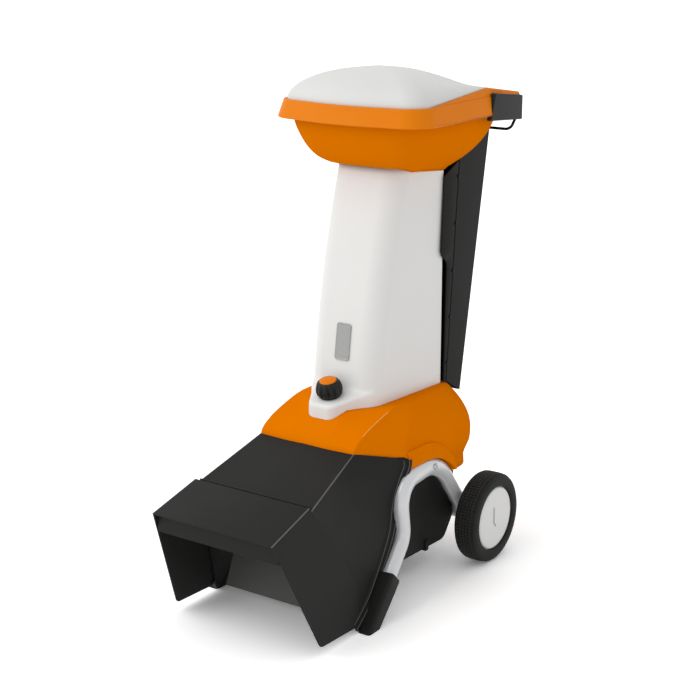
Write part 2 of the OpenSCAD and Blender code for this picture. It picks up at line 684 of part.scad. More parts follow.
// Plan of the tower at a height, and of the toe in front of it that carries the knob
foot_rise = seat;
function tower_front(z) =
    let (f = (z - deck_z) / (tower_z - deck_z)) mix(-tower_foot, -tower_top, 0.35 * f + 0.65 * f * f);
function tower_plan(z, grow = 0) =
    plan(tower_w_front + 2 * grow, tower_w_back + 2 * grow, tower_front(z) - grow, 2, -tower_back + grow,
        60 + grow, 8 + grow);
tower_steps = 7;
function tower_height(i) = mix(deck_z + foot_rise, tower_z, i / tower_steps);
module feed_tower() color(pale) from_axle() difference() {
    union() {
        skin(concat([for (i = [0:tower_steps]) at_height(tower_plan(tower_height(i)), tower_height(i))],
            [for (i = [tower_steps:-1:0])
                at_height(tower_plan(tower_height(i), -tower_wall), tower_height(i))]), true);
        tower_toe();
    }
    knob_axis() translate([0, 0, -90]) cylinder(h = 120, d = stud_d + 2 * run);
}
module tower_toe() intersection() {
    rotate([90, 0, 90]) linear_extrude(toe_w, center = true)
        polygon([[-tower_foot + tower_wall / 2, deck_z + foot_rise],
            [-deck_front.y - 3, deck_z + foot_rise],
            [-toe_front + 1, deck_z - 13], [-toe_front, deck_z + 4],
            [-toe_front + 13, knob_z - (toe_front - 13 - knob_y) * tan(knob_lean)],
            [-tower_foot + tower_wall / 2,
                knob_z + (knob_y - tower_foot + tower_wall / 2) * tan(knob_lean)]]);
    translate([0, -toe_front + toe_w / 2, 0]) union() {
        cylinder(h = 2 * deck_z, d = toe_w);
        translate([-toe_w / 2, 0, 0]) cube([toe_w, toe_front, 2 * deck_z]);
    }
}

// Rear cover: tapering box behind the tower with the knuckles of the tower hinge
function cover_back(z) = mix(cover_low, cover_high, (z - cover_foot) / (cover_mark - cover_foot));
function cover_corners(z, d) = [[cover_w / 2 - d, -tower_back + seat + d],
    [cover_w / 2 - d, cover_back(z) - d],
    [-cover_w / 2 + d, cover_back(z) - d], [-cover_w / 2 + d, -tower_back + seat + d]];
cover_top_front = tower_z - 14;
cover_top_back = tower_z + 74;
function cover_ring(z, d) = at_height(rounded(cover_corners(z, d), [2, 14 - d, 14 - d, 2], 3), z);
function cover_top_ring(d) =
    [for (p = cover_ring(cover_top_back, d))
        [p.x, p.y, mix(cover_top_front, cover_top_back, (p.y + tower_back) / (cover_high + tower_back))]];
module rear_cover() color(black) from_axle() union() {
    difference() {
        skin([cover_ring(cover_foot, 0), cover_top_ring(0),
            cover_top_ring(cover_wall), cover_ring(cover_foot, cover_wall)],
            true);
        translate([-cover_w, -2 * tower_back, cover_foot - 1])
            cube([2 * cover_w, 2 * tower_back + 24, deck_z + 2 - cover_foot + 1]);
        cover_screw_places() cylinder(h = 40, d = 4 + 2 * run, center = true);
    }
    both_sides() translate([hinge_x - lug_t - seat, 0, 0]) rotate([90, 0, 90])
        linear_extrude(lug_t, center = true) difference() {
            union() {
                translate([hinge_y, hinge_z]) circle(d = hinge_boss);
                polygon([[hinge_y, hinge_z + hinge_boss / 2], [cover_back(hinge_z + 40) - 1, hinge_z + 40],
                    [cover_back(hinge_z - 8) - 1, hinge_z - 8], [hinge_y, hinge_z - hinge_boss / 2 + 2]]);
            }
            translate([hinge_y, hinge_z]) circle(d = hinge_d + 2 * run);
        }
}
cover_screw_z = [510, 626, 742, 858, 974];
module cover_screw_places() both_sides() for (z = cover_screw_z)
    let (f = (z - cover_screw_z[0]) / (cover_screw_z[4] - cover_screw_z[0]))
    translate([cover_w / 2, mix(-26, 13, f), z])
        rotate([0, 90, 0]) children();
module cover_screws() color(steel) from_axle() cover_screw_places() {
    translate([0, 0, -14]) cylinder(h = 14, d = 4);
    translate([0, 0, seat / 2]) cylinder(h = 2.5, d = 9);
    translate([0, 0, -1]) cylinder(h = 2, d = 4);
}

// Place on the back of the rear cover, local y pointing out and local z up the cover
module on_back(z) translate([0, cover_back(z), z]) rotate([-cover_lean, 0, 0]) children();
switch_up = 870;
switch_gap = 44;
switch_depth = 26;
module switch_places() for (z = [0, switch_gap]) translate([0, 0, z - switch_gap / 2]) children();
module switch_box() color("#3a3a39") from_axle() on_back(switch_up) difference() {
    translate([-36, seat, -58]) cube([72, switch_depth, 116]);
    translate([-33, -1, -55]) cube([66, switch_depth - 3, 110]);
    switch_places() rotate([-90, 0, 0]) cylinder(h = 2 * switch_depth, d = button_d + 2 * seat);
}
module push_button(z) on_back(switch_up) translate([0, 0, z]) rotate([-90, 0, 0]) {
    translate([0, 0, 8]) cylinder(h = switch_depth - 4 + button_travel, d = button_d);
    translate([0, 0, 8]) cylinder(h = switch_depth - 12, d = button_d + 6);
}
module start_button() color("#2f8f3a") from_axle() push_button(switch_gap / 2);
module stop_button() color("#c02020") from_axle() push_button(-switch_gap / 2);

// Mains inlet: recessed socket with its pins, below the switch box
inlet_up = 750;
module mains_inlet() color("#3a3a39") from_axle() on_back(inlet_up) difference() {
    translate([-32, seat, -30]) cube([64, 46, 60]);
    translate([-25, 10, -23]) cube([50, 46, 46]);
}
module inlet_pins() color("#b08d3c") from_axle() on_back(inlet_up)
    for (x = [-10, 10]) translate([x, 10, 0]) rotate([-90, 0, 0]) cylinder(h = 24, d = 5);

// Blank plate on the tower's front, and the rubber flap inside its upper end
plate_up = 606;
plate_size = [46, 96];
module blank_plate() color(silver) from_axle()
    translate([10, tower_front(plate_up) - seat, plate_up]) rotate([-8.2, 0, 0]) rotate([90, 0, 0])
        linear_extrude(1.2) square(plate_size, center = true);
module splash_flap() color("#222222") from_axle()
    translate([-75, -tower_back - tower_wall - seat - 3, tower_z - 130]) cube([150, 3, 128]);

// Hopper plan: margin is measured inwards from the rim's upper outer edge
rim_r = 62;
rear_r = 8;
function hopper_plan(margin, back, r_back = rear_r) =
    plan(rim_w - 2 * margin, rim_w - 2 * margin, -rim_front + margin, rim_bow, back,
        rim_r - margin, r_back);

// Fall of the rim's deck at a place behind the lid
function sag(y) = deck_fall * max(0, y - lid_back) / (rear_reach - 2 - lid_back);
function sagging(ring, z) = [for (p = ring) [p.x, p.y, z - sag(p.y)]];

// Hopper bowl: each step is its height from 0 to 1, then how far it draws in at side, front and rear
bowl_steps = [[0.036, 75, 81, 152], [0.145, 53, 58, 114], [0.29, 33, 41, 80], [0.47, 18, 25, 46],
    [0.715, 5, 7, 16], [1, 0, 0, 0]];
bowl_in = 11;
bowl_front = rim_front - 9;
function bowl_ring(s, d) =
    let (half = rim_w / 2 - bowl_in - s[1] - d)
    [for (p = plan(2 * half, 2 * half, -bowl_front + s[2] + d, rim_bow * pow(half / rim_w * 2, 2),
            bowl_rear - s[3] - d, 0.42 * half, 0.3 * half))
        [p.x, p.y, min(mix(tower_z, bowl_top, s[0]) + (s[0] < 0.5 ? d : 0),
            rim_z - 5 - seat / 2 - sag(p.y))]];
module hopper_bowl() color(orange) from_axle()
    skin(concat([at_height(tower_plan(tower_z), tower_z + seat / 2)],
        [for (s = bowl_steps) bowl_ring(s, 0)],
        [for (i = [len(bowl_steps) - 1:-1:0]) bowl_ring(bowl_steps[i], bowl_wall)],
        [at_height(tower_plan(tower_z, -bowl_wall - 1), tower_z + seat / 2)]), true);

// Hopper rim: flared skirt, a ledge for the lid and a flat deck behind it. Behind the joint
// with the handle only the upper strip of the skirt goes on.
joint_y = 20;
rim_back = rear_reach - 2;
land_in = 7;
ledge = 13;
ledge_z = rim_z - 9;
strip_h = 7;
lid_r = 28;
module hopper_rim() color(orange) from_axle() difference() {
    union() {
        under = bowl_top + seat / 2;
        skin([at_height(hopper_plan(-rim_flare, rim_back), rim_z - rim_h),
            sagging(hopper_plan(0, rim_back), rim_z - 2), sagging(hopper_plan(2, rim_back - 2), rim_z),
            at_height(hopper_plan(land_in, lid_back, lid_r), rim_z),
            at_height(hopper_plan(land_in, lid_back, lid_r), ledge_z),
            at_height(hopper_plan(land_in + ledge, lid_back - ledge, lid_r), ledge_z),
            at_height(hopper_plan(land_in + ledge, lid_back - ledge, lid_r), under),
            at_height(hopper_plan(4.5, lid_back + 14), under),
            sagging(hopper_plan(4.5, lid_back + 14), rim_z - 5),
            sagging(hopper_plan(3, rim_back - 3), rim_z - 5),
            at_height(hopper_plan(3 - rim_flare, rim_back - 3), rim_z - rim_h)], true);
        both_sides() translate([lid_hinge_x, 0, 0]) rotate([90, 0, 90]) linear_extrude(lug_t, center = true)
            polygon([[lid_back + 0.5, rim_z - 1], [lid_hinge_y + pin_boss, rim_z - 1],
                [lid_hinge_y + pin_boss / 2, lid_hinge_z], [lid_hinge_y - pin_boss / 2, lid_hinge_z]]);
        both_sides() along_x(lid_hinge_x, lid_hinge_y, lid_hinge_z, lug_t, pin_boss);
    }
    intersection() {
        under_strip(0);
        union() {
            both_sides() translate([rim_w / 2 - 4.4, 0, 0])
                cube([rim_flare + 40, 2 * rear_reach, 2 * rim_z]);
            translate([-rim_w, lid_back + 14.2, 0]) cube([2 * rim_w, rear_reach, 2 * rim_z]);
        }
    }
    along_x(0, lid_hinge_y, lid_hinge_z, rim_w, pin_d);
}

// Space below the rim's strip, behind the joint with the handle
module under_strip(gap) rotate([90, 0, 90]) linear_extrude(2 * rim_w, center = true)
    polygon([[joint_y + gap, rim_z - 2 * rim_h], [joint_y + gap, rim_z - strip_h - gap],
        [lid_back, rim_z - strip_h - gap], [2 * rear_reach, rim_z - strip_h - gap - sag(2 * rear_reach)],
        [2 * rear_reach, rim_z - 2 * rim_h]]);

// Transport handle: black band around the back of the rim
handle_h = 58;
handle_side = 13;
handle_back = 21;
module rear_handle() color("#343434") from_axle() intersection() {
    half = rim_w / 2 + 11;
    translate([0, 0, rim_z - strip_h - handle_h]) linear_extrude(2 * handle_h) difference() {
        polygon(plan(2 * half, 2 * half, -100, 10, rear_reach, 40, rear_r));
        polygon(plan(2 * half - 2 * handle_side, 2 * half - 2 * handle_side, -90, 10,
            rear_reach - handle_back,
            30, rear_r));
    }
    under_strip(seat);
}

// Cable hook: bent wire below the handle
hook_half = rim_w / 2 + 2;
hook_reach = 42;
module cable_hook() color("#1d1d1d") from_axle()
    translate([0, rear_reach - handle_side, rim_z - strip_h - handle_h - hook_d * 0.354 - seat / 2])
    rotate([45, 0, 0])
    bent_tube([[-hook_half, 0], [-hook_half, -hook_reach], [hook_half, -hook_reach], [hook_half, 0]],
        14, hook_d);

// Hopper lid: domed cover inside the rim, with two arms on the hinge rod behind it
lid_steps = [0.15, 0.3, 0.45, 0.6, 0.74, 0.86, 0.95, 0.995];
lid_centre = [0, -137];
lid_base = ledge_z + seat;
lid_hinge_y = lid_back + 8;
lid_hinge_z = rim_z + 8.5;
lid_hinge_x = 95;
function lid_ring(s, d) =
    [for (p = hopper_plan(land_in + lid_gap + d, lid_back - lid_gap - d, lid_r - 2))
        let (back = max(0, (p.y - lid_centre.y) / (lid_back - lid_centre.y)),
             k = mix(sqrt(1 - s * s), sqrt(1 - s), 0.7 * back),
             q = lid_centre + ([p.x, p.y] - lid_centre) * k)
        [q.x, q.y, rim_z + lid_rise * s - d]];
module hopper_lid() color(pale) from_axle() difference() {
    union() {
        skin(concat([for (i = [len(lid_steps) - 1:-1:0]) lid_ring(lid_steps[i], lid_wall)],
            [at_height(lid_ring(0, lid_wall), rim_z - 4), at_height(lid_ring(0, lid_wall), lid_base),
                at_height(lid_ring(0, 0), lid_base), lid_ring(0, 0)],
            [for (s = lid_steps) lid_ring(s, 0)]));
        both_sides() translate([lid_hinge_x - lug_t - seat, 0, 0]) rotate([90, 0, 90])
            linear_extrude(lug_t, center = true)
            polygon([[lid_back - 6, rim_z + 1], [lid_hinge_y, rim_z + 1],
                [lid_hinge_y, lid_hinge_z + pin_boss / 2],
                [lid_back - 6, lid_hinge_z + pin_boss / 2 - 3]]);
        both_sides() along_x(lid_hinge_x - lug_t - seat, lid_hinge_y, lid_hinge_z, lug_t, pin_boss);
    }
    along_x(0, lid_hinge_y, lid_hinge_z, rim_w, pin_d + 2 * run);
}
module lid_hinge_rod() color(steel) from_axle()
    along_x(0, lid_hinge_y, lid_hinge_z, 2 * lid_hinge_x + lug_t, pin_d);

// Locking knob: fluted grip, orange cap and the screw below it
flutes = 12;
module clamp_knob() color(black) from_axle() knob_axis() translate([0, 0, seat]) difference() {
    union() {
        cylinder(h = 5, d = knob_d - 12);
        translate([0, 0, 5]) cylinder(h = knob_h - 5, d = knob_d);
    }
    for (a = [0:360 / flutes:359]) rotate([0, 0, a]) translate([knob_d / 2 + 3, 0, 5])
        cylinder(h = knob_h, d = 11);
    translate([0, 0, knob_h - 4]) cylinder(h = 5, d = knob_d - 20);
    translate([0, 0, -1]) cylinder(h = knob_h, d = stud_d);
}
module knob_cap() color(orange) from_axle() knob_axis() translate([0, 0, seat + knob_h - 4]) {
    cylinder(h = 8, d = knob_d - 20 - 2 * run);
    translate([0, 0, 4]) cylinder(h = 4, d = knob_d - 16);
}
module clamp_stud() color(steel) from_axle() knob_axis()
    translate([0, 0, -54]) cylinder(h = 54 + knob_h - 6, d = stud_d);

// Wheels: tyre on a moulded disc, with a cap over the axle end
module on_wheel() translate([wheel_span / 2, 0, axle_z]) rotate([0, -90, 0]) children();
disc_w = wheel_w - 12;
module tyre() on_wheel() rotate_extrude() {
    r = wheel_d / 2;
    polygon([[disc_d / 2, 2], [r - 14, 0], [r - 5, 5], [r, 14], [r, wheel_w - 14], [r - 5, wheel_w - 5],
        [r - 14, wheel_w], [disc_d / 2, wheel_w - 2]]);
}
module wheel_disc() on_wheel() difference() {
    union() {
        translate([0, 0, cap_t + 2]) ring(disc_w, disc_d - 2 * run, disc_d - 14);
        translate([0, 0, wheel_w / 2 - 4]) cylinder(h = 8, d = disc_d - 10);
        translate([0, 0, cap_t + 20]) cylinder(h = wheel_w - cap_t - 20, d = axle_d + 22);
    }
    translate([0, 0, -1]) cylinder(h = 2 * wheel_w, d = axle_d + 2 * run);
}
module hub_cap() on_wheel() {
    translate([0, 0, 2]) cylinder(h = cap_t - 2, d = disc_d - 16);
    translate([0, 0, cap_t]) cylinder(h = 2 - run, d = disc_d - 2);
    translate([0, 0, cap_t]) ring(14, disc_d - 14 - 2 * run, disc_d - 20);
}
module tyre_right() color(black) from_axle() tyre();
module tyre_left() color(black) from_axle() mirror([1, 0, 0]) tyre();
module wheel_disc_right() color(pale) from_axle() wheel_disc();
module wheel_disc_left() color(pale) from_axle() mirror([1, 0, 0]) wheel_disc();
module hub_cap_right() color(pale) from_axle() hub_cap();
module hub_cap_left() color(pale) from_axle() mirror([1, 0, 0]) hub_cap();

side_frame_right();
side_frame_left();
foot_sleeve_right();
foot_sleeve_left();
wheel_axle();
axle_clips();
frame_screws();
motor_plate();
lower_shell();
base_housing();
cutting_chamber();
counter_blade();
clamp_bush();
safety_switch();
discharge_hood();
deflector_plate();
flap_hinge_rod();
tower_hinge_pin();
motor_stator();
upper_end_bell();
lower_end_bell();
upper_bearing();
lower_bearing();
motor_bolts();
run_capacitor();
motor_shaft();
rotor_core();
cooling_fan();
cutting_disc();
cutting_blades();
blade_bolts();
disc_nut();
discharge_flap();
feed_tower();
rear_cover();
cover_screws();
blank_plate();
splash_flap();
hopper_bowl();
hopper_rim();
rear_handle();
cable_hook();
lid_hinge_rod();
switch_box();
mains_inlet();
inlet_pins();
hopper_lid();
start_button();
stop_button();
clamp_knob();
knob_cap();
clamp_stud();
tyre_right();
wheel_disc_right();
hub_cap_right();
tyre_left();
wheel_disc_left();
hub_cap_left();
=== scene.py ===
# %% [markdown]
# # Garden shredder, dressed for the camera
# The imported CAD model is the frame. This lesson lays smooth, detailed pieces over it: shells, tubes,
# tyres, knob and screws. All pieces are drawn in millimetres from the wheel axle, because that is how
# such a machine is dimensioned, and are put into metres only when they are finished.

# %% Load the frame
from math import atan2, cos, pi, radians, sin, tan
import bmesh
import bpy
from mathutils import Matrix, Vector


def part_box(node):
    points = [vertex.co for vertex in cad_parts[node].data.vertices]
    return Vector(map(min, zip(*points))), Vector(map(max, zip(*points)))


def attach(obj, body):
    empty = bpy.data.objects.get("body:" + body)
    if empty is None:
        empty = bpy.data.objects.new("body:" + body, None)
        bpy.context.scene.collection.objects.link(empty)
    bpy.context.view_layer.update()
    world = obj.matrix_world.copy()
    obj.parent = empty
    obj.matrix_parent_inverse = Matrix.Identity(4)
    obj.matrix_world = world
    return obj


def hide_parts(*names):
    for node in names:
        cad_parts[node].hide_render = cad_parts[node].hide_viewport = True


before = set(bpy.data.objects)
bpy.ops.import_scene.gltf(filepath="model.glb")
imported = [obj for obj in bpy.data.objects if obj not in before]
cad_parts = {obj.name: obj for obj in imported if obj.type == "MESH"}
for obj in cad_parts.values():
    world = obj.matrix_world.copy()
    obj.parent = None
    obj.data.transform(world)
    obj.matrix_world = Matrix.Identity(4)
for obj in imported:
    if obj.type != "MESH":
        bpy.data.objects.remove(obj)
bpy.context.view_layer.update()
MM = 0.001
axle_low, axle_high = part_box("wheel_axle")
AXLE_Y = (axle_low[1] + axle_high[1]) / 2 / MM
AXLE_Z = (axle_low[2] + axle_high[2]) / 2 / MM
print("axle at y", round(AXLE_Y, 1), "z", round(AXLE_Z, 1), "mm")

# %% [markdown]
# ## Camera
# The photograph was taken from the right of the front, a little above, with a long lens. A long lens
# far away keeps the verticals nearly parallel, so the distance matters as much as the angle.

# %% Camera
scene = bpy.context.scene
AZIMUTH, ELEVATION = radians(34.71), radians(15.92)
TARGET = Vector((-41.2, -212.2 + AXLE_Y, 558.8)) * MM
DISTANCE = 3.88
lens = bpy.data.cameras.new("camera")
lens.sensor_fit = "HORIZONTAL"
lens.sensor_width = 36
lens.lens = 81.2
camera = bpy.data.objects.new("camera", lens)
scene.collection.objects.link(camera)
away = Vector((sin(AZIMUTH) * cos(ELEVATION), -cos(AZIMUTH) * cos(ELEVATION), sin(ELEVATION)))
camera.location = TARGET + away * DISTANCE
camera.rotation_euler = (-away).to_track_quat("-Z", "Y").to_euler()
scene.camera = camera
print("camera at", [round(c, 2) for c in camera.location])

# %% [markdown]
# ## Nodes and colours
# Colours are written as the sRGB hex values that one reads off a picture. Blender works in linear
# light, so one function converts them. Another adds a shader node with its settings and its links.

# %% Node helper
def linear(code):
    """Linear RGBA of an sRGB hex colour such as e07a0c."""
    channels = [int(code[i:i + 2], 16) / 255 for i in (0, 2, 4)]
    return [c / 12.92 if c <= 0.04045 else ((c + 0.055) / 1.055) ** 2.4 for c in channels] + [1.0]


def add(tree, kind, inputs=None, **settings):
    """Adds a node. An input is a constant, or the output socket that it is linked to."""
    node = tree.nodes.new(kind)
    for key, value in settings.items():
        setattr(node, key, value)
    for key, value in (inputs or {}).items():
        if isinstance(value, bpy.types.NodeSocket):
            tree.links.new(value, node.inputs[key])
        else:
            node.inputs[key].default_value = value
    return node


def new_material(name):
    """An empty node material and its tree."""
    material = bpy.data.materials.new(name)
    material.use_nodes = True
    material.node_tree.nodes.clear()
    return material, material.node_tree


print("mid grey 808080 is", round(linear("808080")[0], 3), "in linear light")

# %% [markdown]
# ## Studio
# A catalogue picture has a white sweep and big soft lamps. The floor here is white to the camera and to
# reflections, but still a plain diffuse surface for the light that falls on it, so it keeps the soft
# shadow under the machine. A large lamp from the front left is the key light, and the world fills in.

# %% Floor and world
def seen_directly(tree):
    """1 for the rays that show the backdrop itself: camera, glossy and transmission rays."""
    path = add(tree, "ShaderNodeLightPath")
    shine = add(tree, "ShaderNodeMath", {0: path.outputs["Is Camera Ray"], 1: path.outputs["Is Glossy Ray"]},
                operation="MAXIMUM")
    return add(tree, "ShaderNodeMath", {0: shine.outputs[0], 1: path.outputs["Is Transmission Ray"]},
               operation="MAXIMUM").outputs[0]


paper, tree = new_material("studio_paper")
seen = seen_directly(tree)
level = add(tree, "ShaderNodeMapRange", {"Value": seen, "To Min": 0.94, "To Max": 1.32})
glow = add(tree, "ShaderNodeMapRange", {"Value": seen, "To Min": 0.0, "To Max": 0.08})
matt = add(tree, "ShaderNodeBsdfDiffuse", {"Color": level.outputs[0]})
white = add(tree, "ShaderNodeEmission", {"Color": (1, 1, 1, 1), "Strength": glow.outputs[0]})
both = add(tree, "ShaderNodeAddShader", {0: matt.outputs[0], 1: white.outputs[0]})
add(tree, "ShaderNodeOutputMaterial", {"Surface": both.outputs[0]})

bm = bmesh.new()
bmesh.ops.create_grid(bm, x_segments=1, y_segments=1, size=30)
mesh = bpy.data.meshes.new("studio_floor")
bm.to_mesh(mesh)
bm.free()
mesh.materials.append(paper)
floor = bpy.data.objects.new("studio_floor", mesh)
scene.collection.objects.link(floor)

scene.world = bpy.data.worlds.new("studio_white")
scene.world.use_nodes = True
tree = scene.world.node_tree
tree.nodes.clear()
level = add(tree, "ShaderNodeMapRange", {"Value": seen_directly(tree), "To Min": 0.74, "To Max": 1.0})
sky = add(tree, "ShaderNodeBackground", {"Color": (1, 1, 1, 1), "Strength": level.outputs[0]})
add(tree, "ShaderNodeOutputWorld", {"Surface": sky.outputs[0]})
print("studio floor and world ready")

# %% Lamp
# A sun lamp with a wide disc stands for a ceiling-sized soft box: its light is the same all over the floor.
key = bpy.data.lights.new("key_lamp", "SUN")
key.energy = 1.25
key.angle = radians(60)
lamp = bpy.data.objects.new("key_lamp", key)
lamp.rotation_euler = Vector((0.50, 0.54, -0.68)).to_track_quat("-Z", "Y").to_euler()
scene.collection.objects.link(lamp)
scene.view_settings.view_transform = "Standard"
print("key lamp of", key.energy, "W per square metre")

# %% [markdown]
# ## Moulded plastics
# Nearly all the shells are injection-moulded: ABS for the orange housing, ASA for the white tower,
# polypropylene for the black chute. The steel mould is spark-eroded, which leaves a fine grain that
# spreads the highlights, and the melt leaves faint flow marks. A noise of decimetre size shades the
# colour and the gloss, and a fine one drives a bump. The real grain is about 0.3 mm, too fine for the
# camera, so it is drawn at about 2 mm.

# %% Moulded plastic
def moulded(name, colour, marks, roughness, grain, depth, shine=0.5):
    """A grained plastic: its colour, the colour of its flow marks, roughness, and grain in millimetres."""
    material, tree = new_material(name)
    place = add(tree, "ShaderNodeTexCoord").outputs["Object"]
    flow = add(tree, "ShaderNodeTexNoise", {"Vector": place, "Scale": 1 / (140 * MM), "Detail": 3.0})
    tint = add(tree, "ShaderNodeMix", {0: flow.outputs[0], 6: linear(colour), 7: linear(marks)},
               data_type="RGBA")
    gloss = add(tree, "ShaderNodeMapRange", {"Value": flow.outputs[0], "To Min": roughness - 0.04,
                                             "To Max": roughness + 0.05})
    pits = add(tree, "ShaderNodeTexNoise", {"Vector": place, "Scale": 1 / (grain * MM), "Detail": 2.0})
    bump = add(tree, "ShaderNodeBump", {"Height": pits.outputs[0], "Strength": 0.35, "Distance": depth * MM})
    shader = add(tree, "ShaderNodeBsdfPrincipled",
                 {"Base Color": tint.outputs[2], "Roughness": gloss.outputs[0], "IOR": 1.5,
                  "Specular IOR Level": shine, "Normal": bump.outputs[0]})
    add(tree, "ShaderNodeOutputMaterial", {"Surface": shader.outputs[0]})
    return material


# ABS takes a clean satin from the mould; the orange is strong, so its gloss stays low.
orange_abs = moulded("abs_moulded_orange", "e27900", "dc7300", 0.42, 2.0, 0.05, 0.0)
rim_abs = moulded("abs_moulded_orange_rim", "e5800c", "df7906", 0.38, 2.0, 0.05, 0.08)
# ASA keeps white outdoors and is a little glossier.
white_asa = moulded("asa_moulded_white", "e5e5e3", "e1e1df", 0.36, 2.2, 0.04, 0.25)
# A lighter orange for slim bars along the housing's creases: a painted highlight.
highlight_abs = moulded("abs_painted_highlight", "f2a040", "ee9834", 0.34, 2.0, 0.04, 0.2)
# A grey for the bead on the hub discs: painted shade of a moulded groove.
shade_asa = moulded("asa_moulded_grey_line", "b0b0ae", "acacaa", 0.42, 2.2, 0.04, 0.2)
lid_asa = moulded("asa_moulded_white_lid", "d9d9d7", "d5d5d3", 0.42, 2.2, 0.04, 0.2)
# Polypropylene with carbon black has a coarser, matter grain.
black_pp = moulded("polypropylene_moulded_black", "20201f", "1c1c1b", 0.50, 2.4, 0.10, 0.12)
grey_pp = moulded("polypropylene_moulded_grey", "282827", "242423", 0.48, 2.2, 0.10, 0.12)
cover_pp = moulded("polypropylene_moulded_black_cover", "1a1a19", "171716", 0.52, 2.4, 0.10, 0.10)
chute_pp = moulded("polypropylene_moulded_mid_grey", "5c5c5a", "565654", 0.50, 2.2, 0.10, 0.15)
# A lighter grey for slim bars along the black creases, folds and ridges: a painted highlight.
highlight_pp = moulded("polypropylene_painted_highlight", "5a5a58", "545452", 0.34, 2.0, 0.04, 0.3)
knob_pa = moulded("nylon_moulded_black", "1d1d1c", "191918", 0.42, 1.6, 0.06, 0.2)
# A lighter rubber for the tops of the tread blocks: a painted highlight.
tread_highlight_rubber = moulded("rubber_tread_painted_highlight", "383837", "2e2e2d", 0.62, 2.0, 0.05, 0.1)
green_pc = moulded("polycarbonate_moulded_green", "2f8f3a", "2a8435", 0.30, 2.0, 0.03)
red_pc = moulded("polycarbonate_moulded_red", "b81f1f", "a81b1b", 0.30, 2.0, 0.03)
print("plastics:", [m.name for m in bpy.data.materials if "moulded" in m.name])

# %% [markdown]
# ## Metals, paint and rubber
# The tube frame is steel with a silver-grey powder coat, which dries with a faint orange peel. Screws
# and axle are zinc-plated: bright, with cloudy patches. Rubber is matt and dusty. Each is one short
# function or section, with its pattern sized from the real thing.

# %% Powder coat
silver_coat, tree = new_material("steel_powder_coated_silver")
place = add(tree, "ShaderNodeTexCoord").outputs["Object"]
peel = add(tree, "ShaderNodeTexNoise", {"Vector": place, "Scale": 1 / (6 * MM), "Detail": 2.0})
cloud = add(tree, "ShaderNodeTexNoise", {"Vector": place, "Scale": 1 / (90 * MM), "Detail": 2.0})
tint = add(tree, "ShaderNodeMix", {0: cloud.outputs[0], 6: linear("d2d3d4"), 7: linear("cbccce")},
           data_type="RGBA")
bump = add(tree, "ShaderNodeBump", {"Height": peel.outputs[0], "Strength": 0.25, "Distance": 0.12 * MM})
shader = add(tree, "ShaderNodeBsdfPrincipled",
             {"Base Color": tint.outputs[2], "Roughness": 0.34, "Metallic": 0.25, "Coat Weight": 0.3,
              "Coat Roughness": 0.15, "Normal": bump.outputs[0]})
add(tree, "ShaderNodeOutputMaterial", {"Surface": shader.outputs[0]})
print("coat:", silver_coat.name)


# %% Bare and plated metals
def plated(name, colour, stain, roughness, patch):
    """A metal surface with cloudy patches, their size in millimetres."""
    material, tree = new_material(name)
    place = add(tree, "ShaderNodeTexCoord").outputs["Object"]
    cloud = add(tree, "ShaderNodeTexNoise", {"Vector": place, "Scale": 1 / (patch * MM), "Detail": 4.0})
    tint = add(tree, "ShaderNodeMix", {0: cloud.outputs[0], 6: linear(colour), 7: linear(stain)},
               data_type="RGBA")
    gloss = add(tree, "ShaderNodeMapRange", {"Value": cloud.outputs[0], "To Min": roughness - 0.08,
                                             "To Max": roughness + 0.10})
    shader = add(tree, "ShaderNodeBsdfPrincipled",
                 {"Base Color": tint.outputs[2], "Metallic": 1.0, "Roughness": gloss.outputs[0]})
    add(tree, "ShaderNodeOutputMaterial", {"Surface": shader.outputs[0]})
    return material


zinc_steel = plated("steel_zinc_plated", "c3c6c9", "a9adb1", 0.30, 12)
blade_steel = plated("tool_steel_ground", "b9bcc0", "9da1a6", 0.26, 5)
dark_steel = plated("steel_black_oxide", "55575a", "45474a", 0.42, 8)
cast_alloy = plated("aluminium_die_cast", "b0b2b4", "9a9c9e", 0.48, 20)
core_steel = plated("electrical_steel_laminated", "75777a", "66686b", 0.50, 10)
brass = plated("brass_turned", "b9964a", "a5823a", 0.30, 10)
print("metals:", [m.name for m in (zinc_steel, blade_steel, dark_steel, cast_alloy, core_steel, brass)])

# %% Wire paint
# The hook and the cover's screws are painted black: a thin satin film that hides the metal.
wire_paint, tree = new_material("steel_wire_painted_black")
place = add(tree, "ShaderNodeTexCoord").outputs["Object"]
peel = add(tree, "ShaderNodeTexNoise", {"Vector": place, "Scale": 1 / (3 * MM), "Detail": 1.0})
gloss = add(tree, "ShaderNodeMapRange", {"Value": peel.outputs[0], "To Min": 0.28, "To Max": 0.42})
shader = add(tree, "ShaderNodeBsdfPrincipled",
             {"Base Color": linear("0c0c0c"), "Roughness": gloss.outputs[0], "Specular IOR Level": 0.08})
add(tree, "ShaderNodeOutputMaterial", {"Surface": shader.outputs[0]})
print("paint:", wire_paint.name)

# %% Brushed plate
# The small plate on the tower is brushed aluminium: the brush marks run along its height, so the noise
# is stretched 40 times that way.
brushed, tree = new_material("aluminium_brushed")
place = add(tree, "ShaderNodeTexCoord").outputs["Object"]
along = add(tree, "ShaderNodeMapping", {"Vector": place, "Scale": (1, 1, 1 / 40)})
lines = add(tree, "ShaderNodeTexNoise", {"Vector": along.outputs[0], "Scale": 1 / (1.2 * MM), "Detail": 3.0})
tint = add(tree, "ShaderNodeMix", {0: lines.outputs[0], 6: linear("a8a8a7"), 7: linear("8a8a89")},
           data_type="RGBA")
bump = add(tree, "ShaderNodeBump", {"Height": lines.outputs[0], "Strength": 0.3, "Distance": 0.05 * MM})
shader = add(tree, "ShaderNodeBsdfPrincipled", {"Base Color": tint.outputs[2], "Metallic": 0.7,
                                                "Roughness": 0.42, "Normal": bump.outputs[0]})
add(tree, "ShaderNodeOutputMaterial", {"Surface": shader.outputs[0]})
print("plate:", brushed.name)

